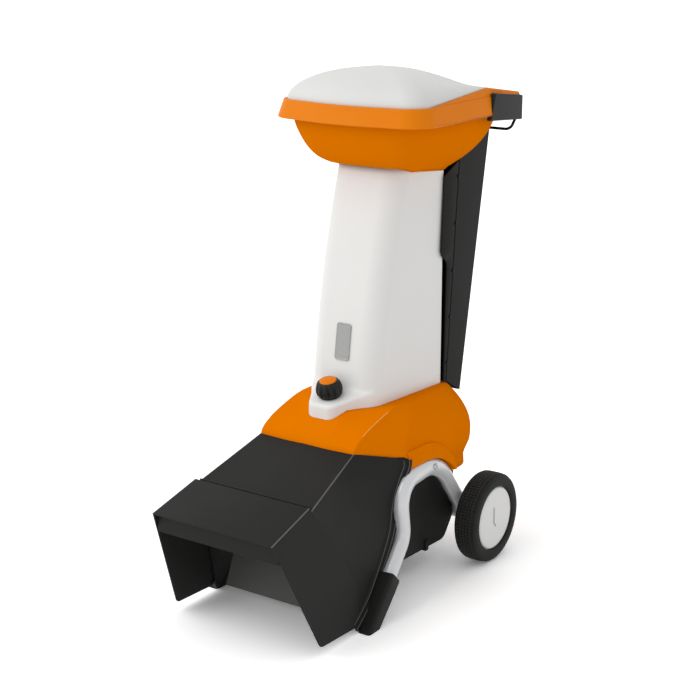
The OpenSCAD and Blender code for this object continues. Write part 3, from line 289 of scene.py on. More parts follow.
# %% Rubber
# Carbon-black rubber: matt, slightly grey where the mould release and dust stay on it.
tyre_rubber, tree = new_material("rubber_moulded_black")
place = add(tree, "ShaderNodeTexCoord").outputs["Object"]
dust = add(tree, "ShaderNodeTexNoise", {"Vector": place, "Scale": 1 / (25 * MM), "Detail": 5.0})
fine = add(tree, "ShaderNodeTexNoise", {"Vector": place, "Scale": 1 / (1.5 * MM), "Detail": 2.0})
tint = add(tree, "ShaderNodeMix", {0: dust.outputs[0], 6: linear("1b1b1a"), 7: linear("2a2a29")},
           data_type="RGBA")
bump = add(tree, "ShaderNodeBump", {"Height": fine.outputs[0], "Strength": 0.4, "Distance": 0.10 * MM})
shader = add(tree, "ShaderNodeBsdfPrincipled",
             {"Base Color": tint.outputs[2], "Roughness": 0.68, "Specular IOR Level": 0.15,
              "Normal": bump.outputs[0]})
add(tree, "ShaderNodeOutputMaterial", {"Surface": shader.outputs[0]})
print(len(bpy.data.materials), "materials")

# %% [markdown]
# ## Shaping helpers
# Most shells here are lofts: a few closed outlines, one above the other. An outline is a handful of
# corners with a radius each. The loft draws the first outline and extrudes its edges from one outline to
# the next, so every vertex keeps its neighbours and the surface shades evenly.

# %% Outlines
def rounded(corners, radii, steps=8, closed=True):
    """Points along a line of 2-D corners, each corner turned into an arc of its radius."""
    count = len(corners)
    points = []
    for i in range(count):
        b = Vector(corners[i])
        if not closed and i in (0, count - 1):
            points.append(b)
            continue
        to_a, to_c = Vector(corners[i - 1]) - b, Vector(corners[(i + 1) % count]) - b
        half = to_a.angle(to_c) / 2
        trim = min(radii[i] / tan(half), 0.49 * to_a.length, 0.49 * to_c.length)
        u, v = to_a.normalized(), to_c.normalized()
        centre = b + (u + v).normalized() * trim / cos(half)
        start, end = b + u * trim - centre, b + v * trim - centre
        sweep = (atan2(end.y, end.x) - atan2(start.y, start.x) + 3 * pi) % (2 * pi) - pi
        for k in range(steps + 1):
            turn = Matrix.Rotation(sweep * k / steps, 2)
            points.append(centre + turn @ start)
    return points


def mix(a, b, f):
    """Linear blend of two numbers or vectors."""
    return a + (b - a) * f


def smooth(f):
    """A soft step from 0 to 1."""
    f = min(max(f, 0), 1)
    return f * f * (3 - 2 * f)


def chaikin(points, times):
    """Rounds an open line of points by cutting its corners, which gives a quadratic spline."""
    for _ in range(times):
        cut = [points[0]]
        for p, q in zip(points, points[1:]):
            cut += [mix(p, q, 0.25), mix(p, q, 0.75)]
        points = cut + [points[-1]]
    return points


def at_height(outline, z):
    """A flat outline lifted to a height."""
    return [(p[0], p[1], z) for p in outline]


def circle(radius, count=10):
    """Points round a circle, the section of a slim bar."""
    turns = [2 * pi * k / count for k in range(count)]
    return [(radius * cos(turn), radius * sin(turn)) for turn in turns]


print("a rounded triangle has", len(rounded([(0, 0), (9, 0), (0, 9)], [2, 2, 2])), "points")


# %% Loft and sweep
def only(geom, kind):
    """The elements of one kind out of what an operator made."""
    return [g for g in geom if isinstance(g, kind)]


def loft(rings, closed=True, caps=(False, False)):
    """A mesh drawn from ring to ring; each ring has the same number of points."""
    bm = bmesh.new()
    row = [bm.verts.new(p) for p in rings[0]]
    pairs = list(zip(row, row[1:])) + ([(row[-1], row[0])] if closed else [])
    edges = [bm.edges.new(pair) for pair in pairs]
    first = edges
    for ring in rings[1:]:
        made = bmesh.ops.extrude_edge_only(bm, edges=edges)["geom"]
        fresh = set(only(made, bmesh.types.BMVert))
        edges = [e for e in only(made, bmesh.types.BMEdge) if fresh.issuperset(e.verts)]
        row = [next(e.other_vert(v) for e in v.link_edges if e.other_vert(v) in fresh) for v in row]
        for vert, point in zip(row, ring):
            vert.co = point
    for loop, wanted in zip((first, edges), caps):
        if wanted:
            bmesh.ops.contextual_create(bm, geom=loop)
    return bm


def sweep(path, section_at, across=Vector((1, 0, 0)), caps=(True, True)):
    """A bar along a path. section_at gives the outline at a share of the way, across first."""
    rings = []
    for i, p in enumerate(path):
        ahead = (path[min(i + 1, len(path) - 1)] - path[max(i - 1, 0)]).normalized()
        side = (across - ahead * across.dot(ahead)).normalized()
        up = ahead.cross(side)
        rings.append([p + side * s[0] + up * s[1] for s in section_at(i / (len(path) - 1))])
    return loft(rings, caps=caps)


# %% Extruded solids, twins and joints
def slab(outline, rise):
    """A solid: a flat outline, extruded by a vector."""
    bm = bmesh.new()
    face = bm.faces.new([bm.verts.new(p) for p in outline])
    made = bmesh.ops.extrude_face_region(bm, geom=[face])["geom"]
    bmesh.ops.translate(bm, verts=only(made, bmesh.types.BMVert), vec=rise)
    return bm


def prism(outline, low, high):
    """A solid with its outline in Y and Z and its ends at two places along X."""
    return slab([(low, p[0], p[1]) for p in outline], (high - low, 0, 0))


def join(*parts):
    """One bmesh out of several, through a mesh each."""
    whole = bmesh.new()
    for part in parts:
        mesh = bpy.data.meshes.new("joined")
        part.to_mesh(mesh)
        part.free()
        whole.from_mesh(mesh)
        bpy.data.meshes.remove(mesh)
    return whole


def mirrored(bm):
    """The left-hand twin of a right-hand shape."""
    twin = bm.copy()
    bmesh.ops.scale(twin, verts=twin.verts, vec=(-1, 1, 1))
    bmesh.ops.reverse_faces(twin, faces=twin.faces)
    return twin


def both_sides(bm):
    """A right-hand shape and its twin, as one."""
    return join(bm, mirrored(bm))


print("helpers:", [f.__name__ for f in (loft, sweep, slab, prism, join, mirrored, both_sides)])


def finish_piece(name, bm, material, body, *nodes, sharp=38, wall=0, edge=0, steps=3):
    """Puts a drawn shape into metres, shades it, and lets it ride on a body in place of CAD nodes."""
    bmesh.ops.remove_doubles(bm, verts=bm.verts, dist=0.01)
    bmesh.ops.recalc_face_normals(bm, faces=bm.faces)
    bmesh.ops.translate(bm, verts=bm.verts, vec=(0, AXLE_Y, 0))
    bmesh.ops.scale(bm, verts=bm.verts, vec=(MM, MM, MM))
    for face in bm.faces:
        face.smooth = True
    for line in bm.edges:
        line.smooth = len(line.link_faces) != 2 or line.calc_face_angle() < radians(sharp)
    mesh = bpy.data.meshes.new(name)
    bm.to_mesh(mesh)
    bm.free()
    mesh.materials.append(material)
    piece = bpy.data.objects.new(name, mesh)
    scene.collection.objects.link(piece)
    if wall:
        solid = piece.modifiers.new("wall", "SOLIDIFY")
        solid.thickness = wall * MM
        solid.offset = -1
    if edge:
        soft = piece.modifiers.new("edge", "BEVEL")
        soft.width = edge * MM
        soft.segments = steps
        soft.limit_method = "ANGLE"
        soft.angle_limit = radians(sharp)
        soft.harden_normals = True
    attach(piece, body)
    if nodes:
        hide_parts(*nodes)
    print(name, "on", body, "with", len(mesh.polygons), "faces")
    return piece


# %% [markdown]
# ## Feed tower
# The white tower is one tall moulding. Its plan is a rounded shield, wider at the back, and its front
# leans back in a long curve. At the foot it flows into a tapered toe that carries the locking knob.
# Two overlapping solids would leave a hard line there, so the tower is drawn ray by ray instead: each
# ray from its axis has a profile that starts at the foot's outline, rounds the edge of the toe, runs
# along the knob's seat and turns up into the wall. Rays without a toe simply go straight up.

# %% Tower outline
DECK_Z, TOWER_Z = 460.0, 1002.0
TOWER_FOOT, TOWER_TOP, TOWER_BACK = 322.0, 213.0, 40.0
TOWER_FRONT_W, TOWER_BACK_W, TOWER_FRONT_R, TOWER_BACK_R, TOWER_BOW = 190.0, 238.0, 60.0, 8.0, 2.0
TOWER_AXIS_Y = -125.0
SEAT_TOP, SEAT_EDGE, SEAT_DROP = 508.0, 495.0, 6.0
TOE_FRONT, TOE_HALF, TOE_BACK, TOE_ROOT = 400.0, 33.0, 290.0, 92.0
KNOB_Y, KNOB_Z, KNOB_LEAN = 356.0, 492.3, radians(13)
LIP_Z, BASE_FRONT, BASE_BOW, DECK_FRONT = 393.0, 452.0, 4.0, 362.0


def shield(front_w, back_w, front, bow, back, front_r, back_r, steps=14):
    """Plan with a bowed front, straight sides and two corners at the back."""
    corners = [(front_w / 2, front + bow), (back_w / 2, back), (-back_w / 2, back),
               (-front_w / 2, front + bow), (0, front)]
    return rounded(corners, [front_r, back_r, back_r, front_r, 500], steps)


def tower_outline(z):
    """Plan of the tower at a height."""
    f = (z - DECK_Z) / (TOWER_Z - DECK_Z)
    front = mix(-TOWER_FOOT, -TOWER_TOP, 0.35 * f + 0.65 * f * f)
    return shield(TOWER_FRONT_W, TOWER_BACK_W, front, TOWER_BOW, -TOWER_BACK, TOWER_FRONT_R, TOWER_BACK_R)


def reach(outline, angle):
    """Distance from the tower's axis to an outline. Angle 0 looks forwards."""
    ray = Vector((sin(angle), -cos(angle)))
    best = 0
    for p, q in zip(outline, outline[1:] + outline[:1]):
        p, q = Vector((p[0], p[1] - TOWER_AXIS_Y)), Vector((q[0], q[1] - TOWER_AXIS_Y))
        side_p, side_q = ray.x * p.y - ray.y * p.x, ray.x * q.y - ray.y * q.x
        if side_p * side_q <= 0 and side_p != side_q:
            hit = mix(p, q, side_p / (side_p - side_q))
            best = max(best, hit.dot(ray))
    return best


def deck_height(y):
    """Height of the orange housing under the tower's foot: level, then falling towards the front."""
    fall = (BASE_FRONT + BASE_BOW + y) / (BASE_FRONT + BASE_BOW - DECK_FRONT)
    return DECK_Z if fall >= 1 else LIP_Z + (DECK_Z - LIP_Z) * max(fall, 0) ** (2 / 3)


def seat_height(y):
    """Height of the knob's seat, a plane that rises towards the tower."""
    return KNOB_Z - SEAT_DROP + (y + KNOB_Y) * tan(KNOB_LEAN)


print("tower from", DECK_Z, "to", TOWER_Z, "mm, its front leans back", TOWER_FOOT - TOWER_TOP, "mm")

# %% Rays of the tower
FOOT_Z, STEP_Z, LOW_Z, WALL_Z, MID_Z = 466.0, 505.0, 535.0, 548.0, 700.0
WALL_STEPS, TOE_BLEND, TOE_FADE, COLLAR = 16, 26.0, 40.0, 22.0
toe_right = [(TOE_HALF, -TOE_FRONT), (TOE_ROOT, -TOE_BACK), (70, -200)]
toe_outline = rounded(toe_right + [(-x, y) for x, y in reversed(toe_right)], [26, 45, 2, 2, 45, 26], 10)
wanted = [radians(0.5 * k) for k in range(-80, 81)]
for z in (FOOT_Z, MID_Z, TOWER_Z):
    wanted += [atan2(p[0], TOWER_AXIS_Y - p[1]) for p in tower_outline(z)]
wanted.sort()
angles = wanted[:1]
for angle in wanted:
    if angle - angles[-1] > radians(0.35):
        angles.append(angle)
wall_heights = [mix(WALL_Z, TOWER_Z, k / WALL_STEPS) for k in range(WALL_STEPS + 1)] + [TOWER_Z + COLLAR]
walls = [tower_outline(z) for z in wall_heights]
foot_wall, step_wall, low_wall = tower_outline(FOOT_Z), tower_outline(STEP_Z), tower_outline(LOW_Z)
print(len(angles), "rays and", len(walls), "outlines of the wall")


# %% Tower shell
def toe_profile(angle, foot, bottom):
    """Profile of a ray over the toe: up its edge, along the knob's seat and into the wall."""
    inner = reach(step_wall, angle)
    seat = min(seat_height(TOWER_AXIS_Y - foot * cos(angle)), SEAT_EDGE)
    seat_in = min(seat_height(TOWER_AXIS_Y - inner * cos(angle)), SEAT_TOP + 4)
    round_in = min(9, 0.4 * (foot - inner) + 1)
    line = [(foot, bottom), (foot - 0.5, mix(bottom, seat, 0.45)), (foot - 1.5, seat - 5),
            (foot - round_in, seat + 0.5), (mix(foot, inner, 0.62), mix(seat, seat_in, 0.62)),
            (inner + 1, seat_in + 3), (mix(inner, reach(low_wall, angle), 0.6), LOW_Z - 5),
            (reach(walls[0], angle), WALL_Z)]
    return [Vector(p) for p in line]


def tower_profile(angle):
    """Profile of a ray, as reach and height: over the toe or straight up, then along the wall."""
    wall, toe_reach = reach(foot_wall, angle) + 1.5, reach(toe_outline, angle)
    blend = max(TOE_BLEND - abs(wall - toe_reach), 0) / TOE_BLEND
    foot = max(wall, toe_reach) + blend * blend * TOE_BLEND / 4
    bottom = deck_height(TOWER_AXIS_Y - foot * cos(angle)) + 0.4
    heights = [mix(bottom, WALL_Z, k / 7) for k in range(8)]
    plain = [Vector((reach(tower_outline(z), angle), z)) for z in heights]
    share = smooth((toe_reach - wall + TOE_FADE) / TOE_FADE)
    line = [mix(p, q, share) for p, q in zip(plain, toe_profile(angle, foot, bottom))]
    return chaikin(line, 2) + [Vector((reach(w, angle), z)) for w, z in zip(walls[1:], wall_heights[1:])]


profiles = [tower_profile(angle) for angle in angles]
rings = [[(p[k].x * sin(a), TOWER_AXIS_Y - p[k].x * cos(a), p[k].y) for p, a in zip(profiles, angles)]
         for k in range(len(profiles[0]))]
finish_piece("feed_tower_shell", loft(rings), white_asa, "tower", "feed_tower", sharp=60, wall=4)

# %% [markdown]
# ## Base housing
# The orange housing is a soft dome with two creases. They run from the upper corners of the chute back
# towards the tower, because the front of the dome draws in later than its flanks. The same rule is used
# here: four corners of the plan slide inwards at different rates as the height grows.

# %% Base housing plan
BELT_Z, SKIRT_Z, BASE_W, BASE_REAR = 350.0, 258.0, 400.0, 30.0
HOOD_TOP_W = 270.0


def base_outline(z, grow=0.0):
    """Plan of the housing at a height, grown or drawn in all round."""
    side = max(0, (z - BELT_Z) / (DECK_Z - BELT_Z)) ** 2
    nose = max(0, (z - LIP_Z) / (DECK_Z - LIP_Z)) ** 1.5
    crease = nose ** 1.3
    p1 = mix(Vector((60, -BASE_FRONT - BASE_BOW)), Vector((52, -DECK_FRONT)), nose) + Vector((0, -grow))
    p2 = mix(Vector((HOOD_TOP_W / 2, -BASE_FRONT)), Vector((134, -286)), crease) + Vector((0.6, -1)) * grow
    p3 = mix(Vector((BASE_W / 2, -334)), Vector((137, -200)), side) + Vector((grow, -0.3 * grow))
    p4 = mix(Vector((BASE_W / 2, BASE_REAR)), Vector((136, 6)), side) + Vector((grow, grow))
    right = [p1, p2, p3, p4]
    left = [Vector((-p.x, p.y)) for p in reversed(right)]
    radii = [25, mix(4, 12, crease), 45, 85]
    return rounded(right + left, radii + radii[::-1], 12)


print("housing", BASE_W, "mm wide at its belt, with", len(base_outline(BELT_Z)), "points to a ring")

# %% Base housing shell
heights = [(SKIRT_Z, -11), (270, -11.6), (282, -12), (296, -9), (310, -4.5), (320, -1.5), (330, -0.4)]
heights += [(z, 0) for z in range(340, 457, 4)] + [(457.5, -0.4), (459.2, -1.4), (DECK_Z, -3.2)]
rings = [at_height(base_outline(z, grow), z) for z, grow in heights]
edge = base_outline(DECK_Z, -28)
throat = [(p[0] * 0.62, mix(-190, p[1], 0.86)) for p in edge]
rings += [at_height(throat, DECK_Z), at_height(throat, DECK_Z - 6)]
housing = finish_piece("base_housing_shell", loft(rings), orange_abs, "base", "base_housing",
                       sharp=50, wall=4)


# %% Cutting with another shape
def carve(piece, bm):
    """Cuts a shape, drawn in millimetres from the axle, out of a piece and keeps the plain result."""
    bmesh.ops.recalc_face_normals(bm, faces=bm.faces)
    bmesh.ops.translate(bm, verts=bm.verts, vec=(0, AXLE_Y, 0))
    bmesh.ops.scale(bm, verts=bm.verts, vec=(MM, MM, MM))
    mesh = bpy.data.meshes.new("cutter")
    bm.to_mesh(mesh)
    bm.free()
    cutter = bpy.data.objects.new("cutter", mesh)
    scene.collection.objects.link(cutter)
    cut = piece.modifiers.new("cut", "BOOLEAN")
    cut.object = cutter
    cut.solver = "MANIFOLD"
    bpy.context.view_layer.update()
    result = bpy.data.meshes.new_from_object(piece.evaluated_get(bpy.context.evaluated_depsgraph_get()))
    piece.modifiers.clear()
    piece.data = result
    bpy.data.objects.remove(cutter)
    print(piece.name, "carved to", len(result.polygons), "faces")


# %% [markdown]
# The flanks are cut away in an arch for the frame tube, and a raised lip follows the cut. The cut is a
# boolean with an arch-shaped block; the lip is a band drawn as two arches, one inside the other.

# %% Arch cut and its lip
FRAME_X = 168.0
TOE_IN = atan2(224.0 - FRAME_X, 522.0)
TUBE_D, ARCH_Z, ARCH_CLEAR = 38.0, 306.0, 3.5
CUT_IN, LAP_IN, CUT_OUT = 156.0, 100.0, 260.0
BAND_IN, BAND_OUT, BAND_FRONT, BAND_FOOT, BAND_WIDE, BAND_SLIM = 186.0, 204.5, -318.0, 256.0, 44.0, 4.0
arch_corners = [(-522, 0), (-348, 170), (-372, ARCH_Z), (-170, ARCH_Z), (0, AXLE_Z)]
arch_line = rounded(arch_corners, [0, 50, 80, 170, 0], 12, closed=False)


def arch_offset(distance):
    """The frame's line moved outwards, from the knee over the arch and down to the axle."""
    moved = []
    for i in range(1, len(arch_line) - 1):
        along = (arch_line[i + 1] - arch_line[i - 1]).normalized()
        moved.append(arch_line[i] + Vector((-along.y, along.x)) * distance)
    return moved


cut_line = arch_offset(TUBE_D / 2 + ARCH_CLEAR)
block = [(-540, -30)] + [(p.x, p.y) for p in cut_line] + [(60, -30)]
lapped = [(-470, 200), (-470, 394), (-345, 363), (-325, 357), (-313, 350), (-313, 200)]
for side in (-1, 1):
    carve(housing, prism(block, side * CUT_IN, side * CUT_OUT))
    carve(housing, prism(lapped, side * LAP_IN, side * CUT_OUT))
inner_arch = [p for p in cut_line if p.x > BAND_FRONT and p.y > BAND_FOOT]
first = cut_line.index(inner_arch[0])
outer_arch = []
for k in range(len(inner_arch)):
    width = mix(BAND_WIDE, BAND_SLIM, (k / (len(inner_arch) - 1)) ** 2)
    outer_arch.append(arch_offset(TUBE_D / 2 + ARCH_CLEAR + width)[first + k])
lip = prism(inner_arch + outer_arch[::-1], BAND_IN, BAND_OUT)
finish_piece("arch_lip", both_sides(lip), orange_abs, "base", sharp=30, edge=3.2, steps=4)

# %% [markdown]
# ## Discharge hood
# The black hood is one thin moulding: a sloping top and two flanks that meet in a crisp, slightly rounded
# crease. Each flank is a ruled surface, as if straight battens were laid from the crease to the rear edge
# beside the frame tube. The rear edge carries two beads that stiffen it, a tuck closes the corner below
# the orange housing, and a low upstand closes the step behind the flap.

# %% Hood top and flanks
hood_top = Vector((HOOD_TOP_W / 2, 2 - BASE_FRONT, LIP_Z))
hood_front = Vector((162, -655, 325))
leg_edge = [(204, -316, 332), (203, -340, 304), (200, -359, 262), (197, -362, 214), (196, -374, 178),
            (198, -404, 136), (201, -440, 90), (206, -486, 44), (209, -546, 6)]
leg_edge = [Vector(p) for p in leg_edge]
rear_line = chaikin([Vector((199.5, -338, 363)), Vector((204, -313, 352))] + leg_edge, 3)
flange_line = chaikin([Vector((204, -314, 354))] + leg_edge, 3)


def along_line(line, f):
    """Point at a share of the way along a line of points."""
    place = f * (len(line) - 1)
    i = min(int(place), len(line) - 2)
    return mix(line[i], line[i + 1], place - i)


battens = []
for k in range(33):
    crease = mix(hood_top, hood_front, k / 32)
    rear = along_line(rear_line, k / 32)
    right = [mix(crease, rear, j / 12) for j in range(13)]
    fold = [mix(Vector((0, crease.y, crease.z + 2)), crease, j / 10) for j in range(10)]
    half = fold + right
    left = [Vector((-p.x, p.y, p.z)) for p in reversed(half[1:])]
    battens.append(left + half)
hood = loft(battens, closed=False)
bmesh.ops.recalc_face_normals(hood, faces=hood.faces)
finish_piece("discharge_hood_shell", hood, black_pp, "base", "discharge_hood", sharp=26, wall=3, edge=3.5,
             steps=4)

# %% Flange along the hood's rear edge
# A section is a distance from the edge into the flank and a height above it: two ridges and a groove.
ridges = [(-2, -3), (-2, 3), (1, 5), (8, 5), (11, 1.8), (15, 1.8), (18, 4.5), (23, 4.5), (28, 0.4), (28, -3)]
rings = []
glints = ([], [])
for i, point in enumerate(flange_line):
    ahead = (flange_line[min(i + 1, len(flange_line) - 1)] - flange_line[max(i - 1, 0)]).normalized()
    to_crease = mix(hood_top, hood_front, i / (len(flange_line) - 1)) - point
    out = ahead.cross(to_crease).normalized()
    out = out if out.x > 0 else -out
    inward = out.cross(ahead)
    inward = inward if inward.dot(to_crease) > 0 else -inward
    rings.append([point + inward * a + out * b for a, b in ridges])
    # Along the top of each ridge runs a line for a painted highlight.
    glints[0].append(point + inward * 7 + out * 4.6)
    glints[1].append(point + inward * 22 + out * 4.1)
flange = loft(rings, caps=(True, True))
finish_piece("hood_flange", both_sides(flange), black_pp, "base", sharp=40)

# %% Tuck below the orange housing
# A strip follows the hood's upper edge under the housing, so the joint at its corner has no gap.
tuck_line = chaikin([hood_top, rear_line[0], flange_line[0]], 2)
tuck = sweep(tuck_line, lambda f: [(-18, 2), (-1.5, 2), (-1.5, 9), (-18, 9)])
finish_piece("hood_tuck", both_sides(tuck), black_pp, "base")

# %% Crease highlights
# A rounded crease or ridge catches the light as a thin line. A slim bar of lighter plastic along it is a
# painted highlight.
FOLD_R, GLINT_R, RIDGE_R, CREASE_POINT = 1.7, 1.02, 1.275, 19
line = [mix(hood_top, hood_front, k / 8) - Vector((0.9, 0, 0.9)) for k in range(9)]
creases = [sweep(line, lambda f: circle(FOLD_R))]
creases += [sweep(glint, lambda f: circle(GLINT_R)) for glint in glints]
finish_piece("hood_crease_highlights", both_sides(join(*creases)), highlight_pp, "base")
line = [Vector((*base_outline(z)[CREASE_POINT], z)) for z in range(424, 459, 4)]
finish_piece("base_crease_highlights", both_sides(sweep(line, lambda f: circle(RIDGE_R))), highlight_abs, "base")

# %% Upstand behind the flap
# A sill runs on from its foot, forwards and down below the flap's hinge rod, so no light falls through.
UPSTAND_HALF = 158.0
upstand = [(-655, 315), (-655, 333.5), (-652.5, 334.5), (-650, 333.5), (-650, 311), (-684, 302), (-684, 305)]
finish_piece("hood_upstand", prism(upstand, -UPSTAND_HALF, UPSTAND_HALF), black_pp, "base", edge=0.8, steps=2)

# %% [markdown]
# ## Discharge flap
# The flap in front of the hood is one folded sheet: a top panel and two cheeks that lean outwards. It is
# drawn as three faces that share their edges. The folds get a bevel, the free corners an arc, and a
# solidify modifier gives the sheet its wall.

# %% Flap sheet
FLAP_Y, FLAP_Z, FLAP_HALF = 664.0, 328.0, 165.0
FRONT, FLAP_DROP, FLAP_OVER, LEAN = 808.0, 40.0, 8.0, radians(8.6)


def cheek_x(z):
    """Half width of the flap at a height, on the outside of its leaning cheeks."""
    return FLAP_HALF + (FLAP_Z - z) * tan(LEAN)


top_z, lip_z = FLAP_Z + FLAP_OVER, FLAP_Z + FLAP_OVER - FLAP_DROP
cheek = rounded([(-FLAP_Y, top_z), (-FRONT, lip_z), (-690, 22), (-548, 17), (-520, 106)],
                [0.1, 0.1, 16, 22, 30], 6)
cheek = [p for i, p in enumerate(cheek) if i == 0 or (p - cheek[i - 1]).length > 0.3]
bm = bmesh.new()
right = [bm.verts.new((cheek_x(p.y), p.x, p.y)) for p in cheek]
left = [bm.verts.new((-cheek_x(p.y), p.x, p.y)) for p in cheek]
bm.faces.new(right)
bm.faces.new(left[::-1])
folds = bm.faces.new([right[0], left[0], left[1], right[1]]).edges
folds = [e for e in folds if abs(e.verts[0].co.x - e.verts[1].co.x) < 50]
bmesh.ops.bevel(bm, geom=folds, offset=5, segments=4, profile=0.5, affect="EDGES", material=-1)
bmesh.ops.recalc_face_normals(bm, faces=bm.faces)
finish_piece("discharge_flap_shell", bm, black_pp, "flap", "discharge_flap", sharp=32, wall=3.5, edge=1.0,
             steps=2)

# %% Apron and fold highlights of the flap
# Just inside the lip an apron hangs down from the panel to keep chips from flying up.
APRON_Y, APRON_LOW, APRON_T = FRONT - 18, 246.0, 3.0
apron_top = top_z - FLAP_DROP * (APRON_Y - FLAP_Y) / (FRONT - FLAP_Y) - 3
corners = [(cheek_x(apron_top) - 4.5, apron_top), (cheek_x(APRON_LOW) - 4.5, APRON_LOW)]
corners += [(-x, z) for x, z in reversed(corners)]
apron = loft([[(x, y, z) for x, z in corners] for y in (-APRON_Y, -APRON_Y + APRON_T)], caps=(True, True))
finish_piece("flap_apron", apron, black_pp, "flap", edge=0.8, steps=2)
# Along each fold a slim bar of lighter plastic is a painted highlight.
line = []
for k in range(9):
    z = mix(top_z, lip_z, k / 8)
    line.append(Vector((cheek_x(z) - 1.6, mix(-FLAP_Y, -FRONT, k / 8), z - 1.6)))
finish_piece("flap_fold_highlights", both_sides(sweep(line, lambda f: circle(FOLD_R))), highlight_pp, "flap")

# %% [markdown]
# ## Hopper
# The hopper is three mouldings: a bowl that swells out of the tower's top, a flared rim around it, and a
# white domed lid inside the rim. All share one plan: a bowed front with generous corners and a square
# back. The rim is a closed band, so it is lofted all the way round its cross-section. Its front hangs a
# little lower and its sides rise towards the handle, so each ring of the loft is bent by the same rule.

# %% Hopper rim
RIM_W, RIM_FRONT, RIM_Z, RIM_H, RIM_BOW, RIM_R, FLARE = 408.0, 322.0, 1180.0, 52.0, 34.0, 62.0, 13.0
REAR, LID_BACK, DECK_FALL, JOINT_Y, STRIP, RISE = 172.0, 32.0, 14.0, 16.5, 7.0, 12.5
RIM_BACK, TUCK, DIP, LID_R, HANDLE_H = REAR - 2, 6.0, 9.0, 28.0, 58.0
HANDLE_LOW = RIM_Z - STRIP - HANDLE_H


def hopper_outline(margin, back, back_r=8.0):
    """Plan of the hopper, drawn in by a margin from the rim's upper edge."""
    width = RIM_W - 2 * margin
    return shield(width, width, -RIM_FRONT + margin, RIM_BOW, back, RIM_R - margin, back_r)


def fall(y):
    """How far the rim's deck has fallen at a place behind the lid."""
    return DECK_FALL * max(0, y - LID_BACK) / (RIM_BACK - LID_BACK)


def joint(z):
    """Place of the slanted joint between the rim's skirt and the handle at a height."""
    return JOINT_Y + mix(-9, 9, (z - HANDLE_LOW) / HANDLE_H)


def dip(y):
    """How far the rim's front hangs lower than its back."""
    return DIP * smooth(-y / 260)


def lift(x, y):
    """How far the rim's sides rise towards the back, where the hand takes hold."""
    along = smooth((y + 210) / 150)
    if y > LID_BACK:
        along = mix(1, 0.3, (y - LID_BACK) / (RIM_BACK - LID_BACK))
    return RISE * along * smooth((abs(x) - 130) / 60) - dip(y)


def dipped(outline, z):
    """An outline at a height that hangs lower at the front."""
    return [(p[0], p[1], z - dip(p[1])) for p in outline]


def falling(outline, z, share=1.0):
    """An outline at a height that rises at the sides and falls behind the lid."""
    return [(p[0], p[1], z - fall(p[1]) + share * lift(p[0], p[1])) for p in outline]


def grip_top(y):
    """Upper edge of the handle, below the rim's strip. It falls by 17 over a length of 140."""
    return RIM_Z - 17 * (y - 28) / 140


def grip_low(y):
    """Lower edge of the handle. It falls by 12 over a length of 158."""
    return HANDLE_LOW - 12 * (y - 9) / 158


print("rim", RIM_W, "mm wide at", RIM_Z, "mm")

# %% Rim shell
# A row gives how a ring is bent, its margin, its back, the corner there, and its depth below the rim.
SKIRT = RIM_H - 1.5
section = [at_height(hopper_outline(1.2 - FLARE, RIM_BACK - 1.2), RIM_Z - RIM_H),
           at_height(hopper_outline(-FLARE, RIM_BACK), RIM_Z - SKIRT)]
for k in range(1, 9):
    flared = hopper_outline(mix(-FLARE, -0.6, k / 8), RIM_BACK)
    section.append(falling(flared, mix(RIM_Z - SKIRT, RIM_Z - 5, k / 8), k / 8))
rows = [(falling, 0.2, RIM_BACK - 0.4, 8, 2), (falling, 1.4, RIM_BACK - 1.4, 8, 0.6),
        (falling, 3, RIM_BACK - 3, 8, 0), (falling, 5.6, LID_BACK + 1.4, LID_R, 0),
        (falling, 6.6, LID_BACK + 0.4, LID_R, 0.6), (falling, 7, LID_BACK, LID_R, 2),
        (dipped, 7, LID_BACK, LID_R, 9), (dipped, 20, LID_BACK - 13, LID_R, 9),
        (dipped, 20, LID_BACK - 13, LID_R, 13), (dipped, 4.5, LID_BACK + 14, 8, 13),
        (falling, 4.5, LID_BACK + 14, 8, 5), (falling, 3.2, RIM_BACK - 3, 8, 5),
        (at_height, 3 - FLARE, RIM_BACK - 3, 8, RIM_H)]
section += [bend(hopper_outline(margin, back, r), RIM_Z - depth) for bend, margin, back, r, depth in rows]
rim = finish_piece("hopper_rim_shell", loft(section + [section[0]]), rim_abs, "tower", "hopper_rim", sharp=45)

# %% Room for the handle
# The skirt is cut away where the handle sits: at both sides behind a slanted joint, and behind the lid.
BELOW, BEYOND, LIP_BACK = RIM_Z - 2 * RIM_H, 2 * REAR, LID_BACK + 14.2
under = [(joint(BELOW), BELOW), (joint(RIM_Z), RIM_Z - TUCK),
         (BEYOND, grip_top(BEYOND) - TUCK), (BEYOND, BELOW)]
for side in (1, -1):
    carve(rim, prism(under, *sorted((side * (RIM_W / 2 - 4.4), side * RIM_W))))
behind = [(LIP_BACK, BELOW), (LIP_BACK, RIM_Z - STRIP - fall(LIP_BACK)),
          (BEYOND, RIM_Z - STRIP - fall(BEYOND)), (BEYOND, BELOW)]
carve(rim, prism(behind, -RIM_W / 2 + 4.3, RIM_W / 2 - 4.3))

# %% Hopper bowl
# Each step gives the height as a share, then how far the bowl is drawn in at its side, front and rear.
BOWL_TOP = RIM_Z - 13.4
bowl_steps = [Vector(s) for s in ((0.036, 75, 81, 128), (0.145, 53, 58, 88), (0.29, 33, 41, 54),
                                  (0.47, 18, 25, 26), (0.715, 5, 7, 8), (1, 0, 0, 0))]


def saddle(p):
    """The bowl's foot climbs on the tower's front and hangs lower on its flanks."""
    return mix(-6, 15, smooth((-p[1] - 122) / 90))


